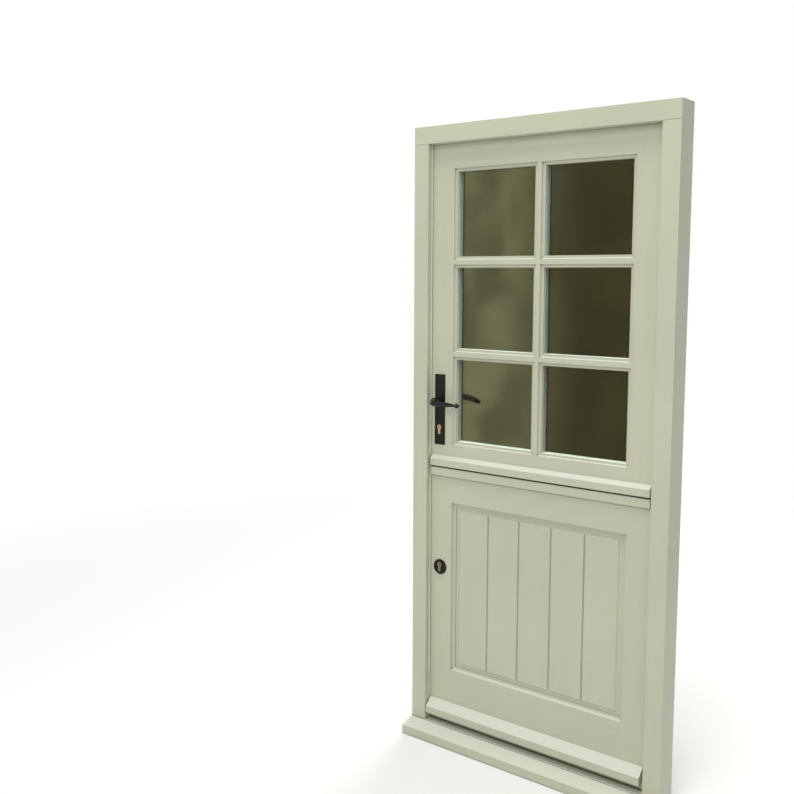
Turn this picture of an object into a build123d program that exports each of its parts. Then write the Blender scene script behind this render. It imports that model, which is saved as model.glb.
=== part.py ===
from build123d import *
import os
from collections import namedtuple

os.makedirs("parts", exist_ok=True)

# A painted timber stable door: two leaves, one above the other, hung in their frame.
# X runs along the wall from the lock side to the hinge side, Y into the building, Z up.
# The origin is the middle of the sill's underside, on the line of the frame's outside face.
# All sizes are in millimetres.

# Frame
frame_width = 932.0
frame_height = 2090.0
frame_face = 57.0
rebate = 13.0
stop_depth = 20.0
seal_gap = 8.0
leaf_thickness = 56.0
sill_thickness = 47.0
sill_projection = 57.0
sill_nose = 32.0
sill_step = 1.5
sill_quirk = 1.4
sill_throat_setback = 11.4
arris = 2.0
tenon_length = 25.0
tenon_thickness = 16.0
tenon_shoulder = 14.0
glue_gap = 0.1

# Leaves and the gaps round them
lock_gap = 3.5
hinge_gap = 3.0
head_gap = 2.5
meeting_gap = 5.0
threshold_gap = 6.0
upper_bottom = 954.5
stile_face = 97.0
top_rail_face = 92.5
bottom_rail_face = 78.5
middle_rail_face = 118.5
kick_rail_face = 189.0
rail_tenon_length = 60.0
rail_tenon_haunch = 12.0

# Glazing
rows = 3
columns = 2
bar_face = 16.0
mould_width = 10.5
mould_depth = 7.0
cove_radius = 5.5
fillet_depth = 7.0
glass_rebate = 13.0
glass_cover = 10.0
tape_thickness = 3.0
sheet_thickness = 4.0
cavity = 16.0
spacer_height = 8.0
bead_recess = 6.0
bead_cove = 5.0
bar_tenon = 10.0
bar_tenon_width = 20.0

# Lower panel
panel_mould_width = 12.5
panel_mould_depth = 10.0
panel_cove_radius = 8.0
panel_margin_depth = 12.0
panel_raise = 4.0
panel_bevel = 5.0
panel_border = 11.5
panel_tongue = 11.0
panel_groove = 12.0
panel_slack = 0.2
board_count = 5
vee_width = 7.0
vee_depth = 3.5

# Weather bars and seals
bar_lock_clearance = 4.0
bar_hinge_clearance = 11.0
bar_round = 2.5
upper_bar_height = 24.0
upper_bar_projection = 13.0
band_height = 28.5
band_projection = 9.0
drip_bar_rise = 20.7
drip_bar_height = 24.9
drip_bar_slope = 25.4
drip_bar_projection = 29.5
drip_throat_setback = 9.8
throat = 4.0
seal_width = 13.0
seal_clearance = 0.3
seal_foot = 6.0
seal_foot_width = 3.0
seal_round = 2.5
meeting_seal_width = 8.0
meeting_seal_groove = 4.0

# Hinges
hinge_length = 100.0
hinge_inset = 175.0
knuckle_radius = 6.5
knuckle_count = 5
knuckle_gap = 0.3
knuckle_standoff = 0.5
pin_radius = 3.0
running_clearance = 0.1
pin_head_radius = 5.0
pin_head_height = 2.0
flap_thickness = 2.5
flap_spacing = 0.5
flap_depth = 34.0
flap_screws = 3
flap_screw_margin = 18.0
flap_screw_stagger = 5.1
screw_head_radius = 4.2
screw_radius = 2.1
screw_length = 30.0
screw_clearance = 0.15

# Locks
backset = 45.0
spindle_height = 1180.0
cylinder_centres = 92.0
lower_backset = 50.0
lower_cylinder_height = 608.0
case_thickness = 15.0
case_back = 17.0
case_above = 33.0
case_below = 30.0
case_clearance = 0.3
faceplate_thickness = 3.0
faceplate_width = 20.0
faceplate_overlap = 40.0
bolt_height = 32.0
bolt_thickness = 12.0
bolt_length = 52.0
bolt_throw = 20.0
bolt_above_cylinder = 32.0
latch_height = 26.0
latch_length = 30.0
latch_throw = 12.0
slide_clearance = 0.3
pocket_spare = 2.0
keep_thickness = 2.0
keep_width = 24.0
keep_margin = 22.0
faceplate_screw_inset = 9.0
small_screw_head = 3.2
small_screw_radius = 1.6
small_screw_length = 18.0

# Cylinders
plug_radius = 6.5
cylinder_radius = 8.5
cylinder_height = 33.0
stem_width = 10.0
cylinder_proud = 2.0
cam_radius = 15.0
cam_thickness = 10.0
cam_width = 7.0
cam_clearance = 0.3
key_slot_width = 2.2
key_slot_height = 9.0
key_slot_depth = 10.0

# Handle furniture
plate_width = 41.5
plate_height = 240.0
plate_above_spindle = 88.0
plate_thickness = 3.0
plate_round = 1.0
collar_radius = 13.0
collar_height = 8.0
neck_radius = 8.0
elbow_radius = 11.0
lever_standoff = 37.0
lever_drop = 8.5
lever_back = 16.0
lever_end_radius = 5.0
lever_end_sweep = 55.0
lever_radius = 9.8
lever_barrel = 10.0
lever_waist = 3.9
lever_waist_at = 88.0
finial_radius = 9.2
finial_flare = 3.5
finial_rim = 1.5
finial_length = 13.0
finial_bulge = 5.9
finial_tip = 1.6
inner_lever_back = 8.0
inner_lever_reach = 102.0
inner_lever_crest_at = 47.0
inner_lever_rise = 5.0
inner_lever_droop = 9.0
inner_lever_thickness = 14.0
inner_lever_width = 20.0
inner_lever_taper = (0.8, 0.95, 1.0, 0.95, 0.7)
inner_lever_round = 3.0
spindle_width = 8.0
spindle_play = 0.2
spindle_into_lever = 22.0
follower_radius = 9.0
through_bolt_radius = 2.5
through_bolt_inset = 12.0
through_bolt_head = 4.5
escutcheon_radius = 26.0
escutcheon_thickness = 3.0
escutcheon_round = 1.2
escutcheon_below_plug = 8.0
escutcheon_screws_apart = 38.0

# Connecting bolt on the inside
tower_inset = 198.5
tower_width = 32.0
tower_height = 62.0
tower_depth = 15.0
tower_round = 3.0
tower_keep_height = 20.0
tower_screw_inset = 9.0
tower_screw_edge = 5.0
tower_screw_length = 30.0
rod_radius = 5.0
rod_throw = 26.0
rod_rest = 5.0
knob_radius = 6.0
knob_reach = 14.0
knob_stem = 3.0

# Places that follow from the sizes above
leaf_front = stop_depth + seal_gap
leaf_back = leaf_front + leaf_thickness
leaf_middle = (leaf_front + leaf_back) / 2
frame_depth = leaf_back
half_frame = frame_width / 2
stop_edge = half_frame - frame_face
rebate_wall = stop_edge + rebate
head_underside = frame_height - frame_face
rebate_ceiling = head_underside + rebate
jamb_middle = (half_frame + rebate_wall) / 2
leaf_left = -rebate_wall + lock_gap
leaf_right = rebate_wall - hinge_gap
leaf_centre = (leaf_left + leaf_right) / 2
upper_top = rebate_ceiling - head_gap
lower_top = upper_bottom - meeting_gap
lower_bottom = sill_thickness + threshold_gap
opening_left = leaf_left + stile_face
opening_right = leaf_right - stile_face
glazed_bottom = upper_bottom + bottom_rail_face
glazed_top = upper_top - top_rail_face
panel_bottom = lower_bottom + kick_rail_face
panel_top = lower_top - middle_rail_face
glass_front = leaf_front + mould_depth + fillet_depth + tape_thickness
unit_thickness = 2 * sheet_thickness + cavity
glass_back = glass_front + unit_thickness
seat_front = glass_front - tape_thickness
hinge_axis_x = leaf_right + hinge_gap / 2
hinge_axis_y = leaf_back + knuckle_radius + knuckle_standoff
frame_flap_face = hinge_axis_x + flap_spacing / 2
leaf_flap_face = hinge_axis_x - flap_spacing / 2
upper_hinges = (upper_top - hinge_inset, upper_bottom + hinge_inset)
lower_hinges = (lower_top - hinge_inset, lower_bottom + hinge_inset)
handle_x = leaf_left + backset
cylinder_z = spindle_height - cylinder_centres
lower_handle_x = leaf_left + lower_backset
upper_bolt_z = cylinder_z + bolt_above_cylinder
lower_bolt_z = lower_cylinder_height + bolt_above_cylinder
upper_case_span = (cylinder_z - case_below, spindle_height + case_above)
lower_case_span = (lower_cylinder_height - case_below, lower_bolt_z + case_above)
upper_case_reach = backset + case_back
lower_case_reach = lower_backset + case_back
upper_faceplate_span = (upper_case_span[0] - faceplate_overlap, upper_case_span[1] + faceplate_overlap)
lower_faceplate_span = (lower_case_span[0] - faceplate_overlap, lower_case_span[1] + faceplate_overlap)
upper_keep_span = (
    upper_bolt_z - bolt_height / 2 - keep_margin,
    spindle_height + latch_height / 2 + keep_margin,
)
lower_keep_span = (
    lower_bolt_z - bolt_height / 2 - keep_margin,
    lower_bolt_z + bolt_height / 2 + keep_margin,
)
stem_drop = cylinder_height - cylinder_radius - stem_width / 2
plate_front = leaf_front - plate_thickness
plate_back = leaf_back + plate_thickness
plate_top = spindle_height + plate_above_spindle
plate_bottom = plate_top - plate_height
through_bolt_heights = (plate_bottom + through_bolt_inset, plate_top - through_bolt_inset)
outer_lever_y = leaf_front - lever_standoff
elbow_back = plate_front - collar_height - case_clearance
inner_lever_y = leaf_back + lever_standoff
escutcheon_z = lower_cylinder_height - escutcheon_below_plug
tower_x = leaf_left + tower_inset
tower_face = leaf_back + tower_depth
rod_y = leaf_back + tower_depth / 2
tower_low = upper_bottom + rod_rest
knob_z = tower_low + tower_height - 2 * knob_radius
lower_tower_top = lower_top - rod_rest
upper_tower_screw_heights = (
    tower_low + tower_screw_inset,
    tower_low + tower_height - tower_screw_inset,
)
lower_tower_screw_height = lower_tower_top - tower_keep_height / 2
beyond = 1.0

Rect = namedtuple("Rect", "left right bottom top")


def inset(rect, distance):
    """The rectangle drawn in by a distance on all four sides."""
    return Rect(
        rect.left + distance,
        rect.right - distance,
        rect.bottom + distance,
        rect.top - distance,
    )


def block(x_span, y_span, z_span, mode=Mode.ADD):
    """Add or cut a square-edged block of timber or plate between pairs of faces."""
    with Locations((x_span[0], y_span[0], z_span[0])):
        Box(
            x_span[1] - x_span[0],
            y_span[1] - y_span[0],
            z_span[1] - z_span[0],
            align=Align.MIN,
            mode=mode,
        )


def prism(rect, front, back, mode=Mode.ADD):
    """A block given by its outline seen from outside and the depths of its two faces."""
    block((rect.left, rect.right), (front, back), (rect.bottom, rect.top), mode)


def section(plane, points):
    """A closed outline of straight edges on a plane."""
    with BuildSketch(plane) as drawn:
        with BuildLine():
            Polyline(*points, close=True)
        make_face()
    return drawn.sketch


def elevation(depth):
    """The plane at one depth seen from outside: X to the right, Z up."""
    return Plane.XZ.offset(-depth)


def mitred_strip(outer, inner, side, gap=0.0):
    """One side of the band between two rectangles, cut at 45 degrees at both ends.

    The upright sides stand back from the level ones by the gap at each mitre.
    """
    corners = {
        "left": ((outer.left, outer.bottom + gap), (outer.left, outer.top - gap),
                 (inner.left, inner.top - gap), (inner.left, inner.bottom + gap)),
        "right": ((outer.right, outer.bottom + gap), (outer.right, outer.top - gap),
                  (inner.right, inner.top - gap), (inner.right, inner.bottom + gap)),
        "bottom": ((outer.left, outer.bottom), (outer.right, outer.bottom),
                   (inner.right, inner.bottom), (inner.left, inner.bottom)),
        "top": ((outer.left, outer.top), (outer.right, outer.top), (inner.right, inner.top),
                (inner.left, inner.top)),
    }
    return corners[side]


def cove_block(rect, face, depth, radius, inward):
    """What a cove cutter takes out round one opening, with mitred corners."""
    with BuildPart() as cove:
        start = face - inward * beyond
        end = face + inward * depth
        prism(rect, min(start, end), max(start, end))
        floor = cove.faces().sort_by(Axis.Y)[-1 if inward > 0 else 0]
        fillet(floor.edges(), radius)
    return cove.part


def light_grid():
    """The face rectangle of each glazed light, by row from the bottom and by column."""
    pitch_z = (glazed_top - glazed_bottom) / rows
    pitch_x = (opening_right - opening_left) / columns
    grid = {}
    for row in range(rows):
        for column in range(columns):
            left = opening_left + column * pitch_x
            bottom = glazed_bottom + row * pitch_z
            grid[row, column] = Rect(
                left + (bar_face / 2 if column > 0 else 0),
                left + pitch_x - (bar_face / 2 if column < columns - 1 else 0),
                bottom + (bar_face / 2 if row > 0 else 0),
                bottom + pitch_z - (bar_face / 2 if row < rows - 1 else 0),
            )
    return grid


lights = light_grid()
row_names = ("low", "middle", "high")
column_names = ("left", "right")
panel_face = Rect(opening_left, opening_right, panel_bottom, panel_top)
panel_sight = inset(panel_face, panel_mould_width)


def glazed_openings():
    """Everything that the moulding and the glass rebates take out of the upper leaf."""
    coves = [cove_block(light, leaf_front, mould_depth, cove_radius, 1) for light in lights.values()]
    with BuildPart() as openings:
        for light, cove in zip(lights.values(), coves):
            add(cove)
            prism(inset(light, mould_width), leaf_front, leaf_back + beyond)
            prism(inset(light, mould_width - glass_rebate), seat_front, leaf_back + beyond)
    return openings.part


def panel_opening():
    """Everything that the moulding and the panel groove take out of the lower leaf."""
    outside = cove_block(panel_face, leaf_front, panel_mould_depth, panel_cove_radius, 1)
    inside = cove_block(panel_face, leaf_back, panel_mould_depth, panel_cove_radius, -1)
    with BuildPart() as opening:
        add(outside)
        add(inside)
        prism(panel_sight, leaf_front, leaf_back)
        prism(
            inset(panel_sight, -panel_groove),
            leaf_front + panel_margin_depth - panel_slack,
            leaf_back - panel_margin_depth + panel_slack,
        )
    return opening.part


glazing_cutter = glazed_openings()
panel_cutter = panel_opening()


def strips(face_rects, width, side):
    """The moulded strips that belong to one member, as flat outlines on the leaf's face."""
    return [mitred_strip(rect, inset(rect, width), side) for rect in face_rects]


def moulded_member(rect, strip_outlines, cutter):
    """A stile, rail or bar: its square timber and its share of the moulding, then worked."""
    sketches = [section(elevation(leaf_front), points) for points in strip_outlines]
    with BuildPart() as member:
        prism(rect, leaf_front, leaf_back)
        for sketch in sketches:
            extrude(sketch, amount=-leaf_thickness)
        add(cutter, mode=Mode.SUBTRACT)
    return member.part


def rail_tenons(rect, spare=0.0, mode=Mode.ADD):
    """The tenons at both ends of a rail, or their mortises with a little spare room."""
    half = tenon_thickness / 2 + spare
    low = rect.bottom + rail_tenon_haunch - spare
    high = rect.top - rail_tenon_haunch + spare
    reach = rail_tenon_length + spare
    y_span = (leaf_middle - half, leaf_middle + half)
    block((rect.left - reach, rect.left), y_span, (low, high), mode)
    block((rect.right, rect.right + reach), y_span, (low, high), mode)


def bar_tenons(height, spare=0.0, mode=Mode.ADD):
    """The stub tenons of one level glazing bar, or their mortises in the stiles."""
    half = bar_face / 2 + mould_width - glass_rebate + spare
    y_half = bar_tenon_width / 2 + spare
    y_span = (leaf_middle - y_half, leaf_middle + y_half)
    z_span = (height - half, height + half)
    reach = bar_tenon + spare
    block((opening_left - reach, opening_left), y_span, z_span, mode)
    block((opening_right, opening_right + reach), y_span, z_span, mode)


def upright_bar_tenons(spare=0.0, mode=Mode.ADD):
    """The stub tenons of the upright glazing bar, or their mortises in the rails."""
    half = bar_face / 2 + mould_width - glass_rebate + spare
    y_half = bar_tenon_width / 2 + spare
    x_span = (leaf_centre - half, leaf_centre + half)
    y_span = (leaf_middle - y_half, leaf_middle + y_half)
    reach = bar_tenon + spare
    block(x_span, y_span, (glazed_bottom - reach, glazed_bottom), mode)
    block(x_span, y_span, (glazed_top, glazed_top + reach), mode)


top_rail_rect = Rect(opening_left, opening_right, glazed_top, upper_top)
bottom_rail_rect = Rect(opening_left, opening_right, upper_bottom, glazed_bottom)
middle_rail_rect = Rect(opening_left, opening_right, panel_top, lower_top)
kick_rail_rect = Rect(opening_left, opening_right, lower_bottom, panel_bottom)
bar_levels = [glazed_bottom + (glazed_top - glazed_bottom) * row / rows for row in range(1, rows)]


def cylinder_outline(plane, x, z, clearance=0.0):
    """The keyhole section of a profile cylinder: round above, a narrow stem below."""
    radius = stem_width / 2 + clearance
    with BuildSketch(plane) as drawn:
        with Locations((x, z)):
            Circle(cylinder_radius + clearance)
        with Locations((x, z - stem_drop / 2)):
            Rectangle(2 * radius, stem_drop)
        with Locations((x, z - stem_drop)):
            Circle(radius)
    return drawn.sketch


def across(x, z, radius, front, back, mode=Mode.ADD):
    """A round bar or bore running into the building between two depths."""
    with BuildSketch(elevation(front)) as drawn:
        with Locations((x, z)):
            Circle(radius)
    extrude(drawn.sketch, amount=front - back, mode=mode)


def screw_profile(head, shank, length):
    """Half the outline of a countersunk screw, head up, as radius and height."""
    return ((0, 0), (head, 0), (shank, shank - head), (shank, -length), (0, -length))


def screws(places, head, shank, length, grow=0.0, mode=Mode.ADD):
    """Countersunk screws, each at a plane whose normal leaves the head, or their holes."""
    half = screw_profile(head + grow, shank + grow, length + grow)
    for place in places:
        with BuildSketch(Plane(place.origin, x_dir=place.x_dir, z_dir=place.y_dir)) as drawn:
            with BuildLine():
                Polyline(*[(radius, -height) for radius, height in half], close=True)
            make_face()
        revolve(drawn.sketch, axis=Axis(place.origin, place.z_dir), mode=mode)


def flap_screw_places(height, x, facing):
    """Where the screws of one hinge flap stand, in a zigzag down the flap."""
    spread = hinge_length - 2 * flap_screw_margin
    places = []
    for number in range(flap_screws):
        z = height - spread / 2 + spread * number / (flap_screws - 1)
        stagger = flap_screw_stagger if number % 2 else -flap_screw_stagger
        y = leaf_back - flap_depth / 2 + stagger
        places.append(Plane((x, y, z), x_dir=(0, 0, 1), z_dir=(facing, 0, 0)))
    return places


def keep_screw_places(low, high):
    """The two screws of a striking plate, above and below its holes."""
    return [
        Plane((-rebate_wall, leaf_middle, z), x_dir=(0, 0, 1), z_dir=(1, 0, 0))
        for z in (low + faceplate_screw_inset, high - faceplate_screw_inset)
    ]


def faceplate_screw_places(low, high):
    """The two screws that hold a lock's faceplate to the edge of its leaf."""
    return [
        Plane((leaf_left, leaf_middle, z), x_dir=(0, 0, 1), z_dir=(-1, 0, 0))
        for z in (low + faceplate_screw_inset, high - faceplate_screw_inset)
    ]


def make_sill():
    """The projecting sill: weathered past a quirk, flat under the leaves, throated below."""
    half = jamb_tenon_half()
    slope_top = sill_thickness - sill_step
    quirk_front = -sill_step - sill_quirk
    quirk_floor = slope_top - sill_quirk
    with BuildPart() as sill:
        with BuildSketch(Plane.YZ.offset(-half_frame)):
            with BuildLine():
                Polyline(
                    (frame_depth, 0),
                    (frame_depth, sill_thickness),
                    (-sill_step, sill_thickness),
                    (-sill_step, quirk_floor),
                    (quirk_front, quirk_floor),
                    (quirk_front, slope_top),
                    (-sill_projection, sill_nose),
                    (-sill_projection, 0),
                    close=True,
                )
            make_face()
            with Locations((sill_throat_setback - sill_projection, 0)):
                Circle(throat, mode=Mode.SUBTRACT)
        extrude(amount=frame_width)
        nose = sill.edges().filter_by(Axis.X).group_by(Axis.Y)[0]
        fillet(nose, arris)
        for side in (-1, 1):
            x = side * jamb_middle
            block((x - half, x + half), tenon_y(), (sill_thickness - tenon_length, sill_thickness),
                  Mode.SUBTRACT)
    sill.part.label = "sill"
    export_step(sill.part, "parts/sill.step")


def jamb_tenon_half(spare=glue_gap):
    """Half the thickness of a jamb's tenon, or of its mortise with the glue gap."""
    return tenon_thickness / 2 + spare


def tenon_y(spare=glue_gap):
    """The front and back of a jamb's tenon, or of its mortise with the glue gap."""
    return (stop_depth + tenon_shoulder - spare, frame_depth - tenon_shoulder + spare)


def jamb_blank(side):
    """A jamb's rebated section, kerfed for the seal, scribed and tenoned at both ends."""
    low = sill_thickness
    tenon = tenon_length - glue_gap
    half = jamb_tenon_half(0)
    with BuildPart() as blank:
        with BuildSketch(Plane.XY.offset(low)):
            with BuildLine():
                Polyline(
                    (side * half_frame, 0),
                    (side * stop_edge, 0),
                    (side * stop_edge, stop_depth),
                    (side * rebate_wall, stop_depth),
                    (side * rebate_wall, frame_depth),
                    (side * half_frame, frame_depth),
                    close=True,
                )
            make_face()
            with Locations((side * (rebate_wall - seal_width / 2), stop_depth - seal_foot / 2)):
                Rectangle(seal_foot_width, seal_foot, mode=Mode.SUBTRACT)
        extrude(amount=rebate_ceiling - low)
        front_arris = blank.edges().filter_by(Axis.Z).group_by(Axis.Y)[0]
        fillet(front_arris.sort_by(Axis.X)[-1 if side < 0 else 0], arris)
        block(
            sorted((side * (stop_edge - beyond), side * half_frame)),
            (-beyond, stop_depth),
            (head_underside, rebate_ceiling + beyond),
            Mode.SUBTRACT,
        )
        x = side * jamb_middle
        for z_span in ((low - tenon, low), (rebate_ceiling, rebate_ceiling + tenon)):
            block((x - half, x + half), tenon_y(0), z_span)
    return blank.part


def bolt_pockets():
    """The bolt and latch holes, each as its centre height, height and throw."""
    return (
        (upper_bolt_z, bolt_height, bolt_throw),
        (spindle_height, latch_height, latch_throw),
        (lower_bolt_z, bolt_height, bolt_throw),
    )


def make_lock_jamb():
    """The jamb that takes the bolts, with beds for the keeps and pockets behind them."""
    blank = jamb_blank(-1)
    half_keep = keep_width / 2
    half_pocket = bolt_thickness / 2 + pocket_spare
    with BuildPart() as lock_jamb:
        add(blank)
        for z_span in (upper_keep_span, lower_keep_span):
            block(
                (-rebate_wall - keep_thickness, -rebate_wall + beyond),
                (leaf_middle - half_keep, leaf_middle + half_keep),
                z_span,
                Mode.SUBTRACT,
            )
        for centre, height, throw in bolt_pockets():
            block(
                (-rebate_wall - keep_thickness - throw, -rebate_wall),
                (leaf_middle - half_pocket, leaf_middle + half_pocket),
                (centre - height / 2 - pocket_spare, centre + height / 2 + pocket_spare),
                Mode.SUBTRACT,
            )
        places = keep_screw_places(*upper_keep_span) + keep_screw_places(*lower_keep_span)
        screws(places, small_screw_head, small_screw_radius, small_screw_length, screw_clearance,
               Mode.SUBTRACT)
    lock_jamb.part.label = "lock_jamb"
    export_step(lock_jamb.part, "parts/lock_jamb.step")


def make_hinge_jamb():
    """The jamb that carries the leaves, with the four hinge flaps let into it."""
    blank = jamb_blank(1)
    with BuildPart() as hinge_jamb:
        add(blank)
        for height in upper_hinges + lower_hinges:
            block(
                (rebate_wall - beyond, frame_flap_face + flap_thickness),
                (leaf_back - flap_depth, leaf_back + beyond),
                (height - hinge_length / 2, height + hinge_length / 2),
                Mode.SUBTRACT,
            )
            screws(
                flap_screw_places(height, frame_flap_face, -1),
                screw_head_radius, screw_radius, screw_length, screw_clearance, Mode.SUBTRACT,
            )
    hinge_jamb.part.label = "hinge_jamb"
    export_step(hinge_jamb.part, "parts/hinge_jamb.step")


def make_head():
    """The head, running over both jambs, rebated and kerfed like them."""
    half = jamb_tenon_half()
    kerf_z = rebate_ceiling - seal_width / 2
    with BuildPart() as head:
        with BuildSketch(Plane.YZ.offset(-half_frame)):
            with BuildLine():
                Polyline(
                    (0, head_underside),
                    (stop_depth, head_underside),
                    (stop_depth, rebate_ceiling),
                    (frame_depth, rebate_ceiling),
                    (frame_depth, frame_height),
                    (0, frame_height),
                    close=True,
                )
            make_face()
        extrude(amount=frame_width)
        fillet(head.edges().filter_by(Axis.X).group_by(Axis.Y)[0].sort_by(Axis.Z)[0], arris)
        block(
            (-rebate_wall, rebate_wall),
            (stop_depth - seal_foot, stop_depth),
            (kerf_z - seal_foot_width / 2, kerf_z + seal_foot_width / 2),
            Mode.SUBTRACT,
        )
        for side in (-1, 1):
            x = side * jamb_middle
            block((x - half, x + half), tenon_y(), (rebate_ceiling, rebate_ceiling + tenon_length),
                  Mode.SUBTRACT)
            kerf_x = side * (rebate_wall - seal_width / 2)
            block(
                (kerf_x - seal_foot_width / 2, kerf_x + seal_foot_width / 2),
                (stop_depth - seal_foot, stop_depth),
                (head_underside, kerf_z),
                Mode.SUBTRACT,
            )
    head.part.label = "head"
    export_step(head.part, "parts/head.step")


def seal_section(plane, along_centre, across_sign):
    """A seal's section: a foot for the kerf and a soft body that the leaf closes on."""
    foot = seal_foot - seal_clearance
    width = seal_foot_width - 2 * glue_gap
    body = seal_gap - seal_clearance
    with BuildSketch(plane) as drawn:
        with Locations((along_centre, across_sign * (stop_depth + body / 2))):
            RectangleRounded(seal_width - 2 * seal_clearance, body, seal_round)
        with Locations((along_centre, across_sign * (stop_depth - foot / 2 + seal_round / 2))):
            Rectangle(width, foot + seal_round)
    return drawn.sketch


def make_weather_seal():
    """The seal up both jambs and along the head, in the corner of the rebate."""
    head_z = rebate_ceiling - seal_width / 2
    upright_top = rebate_ceiling - seal_width
    side_x = rebate_wall - seal_width / 2
    uprights = [
        seal_section(Plane.XY.offset(sill_thickness + seal_clearance), side * side_x, 1)
        for side in (-1, 1)
    ]
    level_plane = Plane((-rebate_wall, 0, 0), x_dir=(0, 0, 1), z_dir=(-1, 0, 0))
    level = seal_section(level_plane, head_z, 1)
    with BuildPart() as weather_seal:
        for upright in uprights:
            extrude(upright, amount=upright_top - sill_thickness - 2 * seal_clearance)
        extrude(level, amount=-2 * rebate_wall + seal_clearance)
    weather_seal.part.label = "weather_seal"
    export_step(weather_seal.part, "parts/weather_seal.step")


def make_keep(name, z_span, holes):
    """A striking plate let into the lock jamb, with a hole for each bolt it takes."""
    half_keep = keep_width / 2
    half_hole = bolt_thickness / 2 + pocket_spare / 2
    with BuildPart() as keep:
        block(
            (-rebate_wall - keep_thickness, -rebate_wall),
            (leaf_middle - half_keep, leaf_middle + half_keep),
            z_span,
        )
        fillet(keep.edges().filter_by(Axis.X), arris)
        for centre, height in holes:
            half_height = height / 2 + pocket_spare / 2
            block(
                (-rebate_wall - keep_thickness - beyond, -rebate_wall + beyond),
                (leaf_middle - half_hole, leaf_middle + half_hole),
                (centre - half_height, centre + half_height),
                Mode.SUBTRACT,
            )
        screws(keep_screw_places(*z_span), small_screw_head, small_screw_radius,
               small_screw_length, screw_clearance, Mode.SUBTRACT)
    keep.part.label = name
    export_step(keep.part, f"parts/{name}.step")


def knuckles(height, first):
    """The spans of every second knuckle of a hinge, from the first or the second."""
    length = (hinge_length + knuckle_gap) / knuckle_count
    low = height - hinge_length / 2
    return [
        (low + number * length, low + (number + 1) * length - knuckle_gap)
        for number in range(first, knuckle_count, 2)
    ]


def hinge_flap(height, face, away, first, bore):
    """One flap of a butt hinge: its plate, its knuckles wrapped on the pin, its holes."""
    x_span = sorted((face, face + away * flap_thickness))
    block(
        x_span,
        (leaf_back - flap_depth, leaf_back),
        (height - hinge_length / 2, height + hinge_length / 2),
    )
    for low, high in knuckles(height, first):
        block(x_span, (leaf_back, hinge_axis_y), (low, high))
        with BuildSketch(Plane.XY.offset(low)) as barrel:
            with Locations((hinge_axis_x, hinge_axis_y)):
                Circle(knuckle_radius)
        extrude(barrel.sketch, amount=high - low)
        with BuildSketch(Plane.XY.offset(low)) as hole:
            with Locations((hinge_axis_x, hinge_axis_y)):
                Circle(bore)
        extrude(hole.sketch, amount=high - low, mode=Mode.SUBTRACT)
    screws(flap_screw_places(height, face, -away), screw_head_radius, screw_radius,
           screw_length, screw_clearance, Mode.SUBTRACT)


def make_frame_flaps(name, heights):
    """The flaps of one leaf's hinges that are screwed to the frame."""
    with BuildPart() as frame_flaps:
        for height in heights:
            hinge_flap(height, frame_flap_face, 1, 0, pin_radius + running_clearance / 2)
    frame_flaps.part.label = name
    export_step(frame_flaps.part, f"parts/{name}.step")


def make_leaf_flaps(name, heights):
    """The flaps of one leaf's hinges that are screwed to the leaf's edge."""
    with BuildPart() as leaf_flaps:
        for height in heights:
            hinge_flap(height, leaf_flap_face, -1, 1, pin_radius + running_clearance)
    leaf_flaps.part.label = name
    export_step(leaf_flaps.part, f"parts/{name}.step")


def make_hinge_pins():
    """The four hinge pins with their button tips."""
    with BuildPart() as hinge_pins:
        for height in upper_hinges + lower_hinges:
            low = height - hinge_length / 2
            with BuildSketch(Plane.XY.offset(low)) as shank:
                with Locations((hinge_axis_x, hinge_axis_y)):
                    Circle(pin_radius)
            extrude(shank.sketch, amount=hinge_length)
            for start in (low - pin_head_height, low + hinge_length):
                with BuildSketch(Plane.XY.offset(start)) as tip:
                    with Locations((hinge_axis_x, hinge_axis_y)):
                        Circle(pin_head_radius)
                extrude(tip.sketch, amount=pin_head_height)
    hinge_pins.part.label = "hinge_pins"
    export_step(hinge_pins.part, "parts/hinge_pins.step")


def make_frame_screws():
    """The screws of the frame's flaps and keeps."""
    with BuildPart() as frame_screws:
        for height in upper_hinges + lower_hinges:
            screws(flap_screw_places(height, frame_flap_face, -1), screw_head_radius,
                   screw_radius, screw_length)
        for z_span in (upper_keep_span, lower_keep_span):
            screws(keep_screw_places(*z_span), small_screw_head, small_screw_radius,
                   small_screw_length)
    frame_screws.part.label = "frame_screws"
    export_step(frame_screws.part, "parts/frame_screws.step")


def cut_flap_beds(heights):
    """Let the hinge flaps and their screws into the hinge edge of a leaf."""
    for height in heights:
        block(
            (leaf_flap_face - flap_thickness, leaf_right + beyond),
            (leaf_back - flap_depth, leaf_back + beyond),
            (height - hinge_length / 2, height + hinge_length / 2),
            Mode.SUBTRACT,
        )
        screws(flap_screw_places(height, leaf_flap_face, 1), screw_head_radius, screw_radius,
               screw_length, screw_clearance, Mode.SUBTRACT)


def cut_lock_mortise(case_span, faceplate_span, reach, cylinder_x, plug_z):
    """Sink a lock case and its faceplate into the lock edge, with the cylinder's hole."""
    half_case = case_thickness / 2 + case_clearance
    half_plate = faceplate_width / 2
    block(
        (leaf_left - beyond, leaf_left + reach + case_clearance),
        (leaf_middle - half_case, leaf_middle + half_case),
        (case_span[0] - case_clearance, case_span[1] + case_clearance),
        Mode.SUBTRACT,
    )
    block(
        (leaf_left - beyond, leaf_left + faceplate_thickness),
        (leaf_middle - half_plate, leaf_middle + half_plate),
        faceplate_span,
        Mode.SUBTRACT,
    )
    hole = cylinder_outline(elevation(leaf_front - beyond), cylinder_x, plug_z, case_clearance)
    extrude(hole, amount=-leaf_thickness - 2 * beyond, mode=Mode.SUBTRACT)
    screws(faceplate_screw_places(*faceplate_span), small_screw_head, small_screw_radius,
           small_screw_length, screw_clearance, Mode.SUBTRACT)


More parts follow.
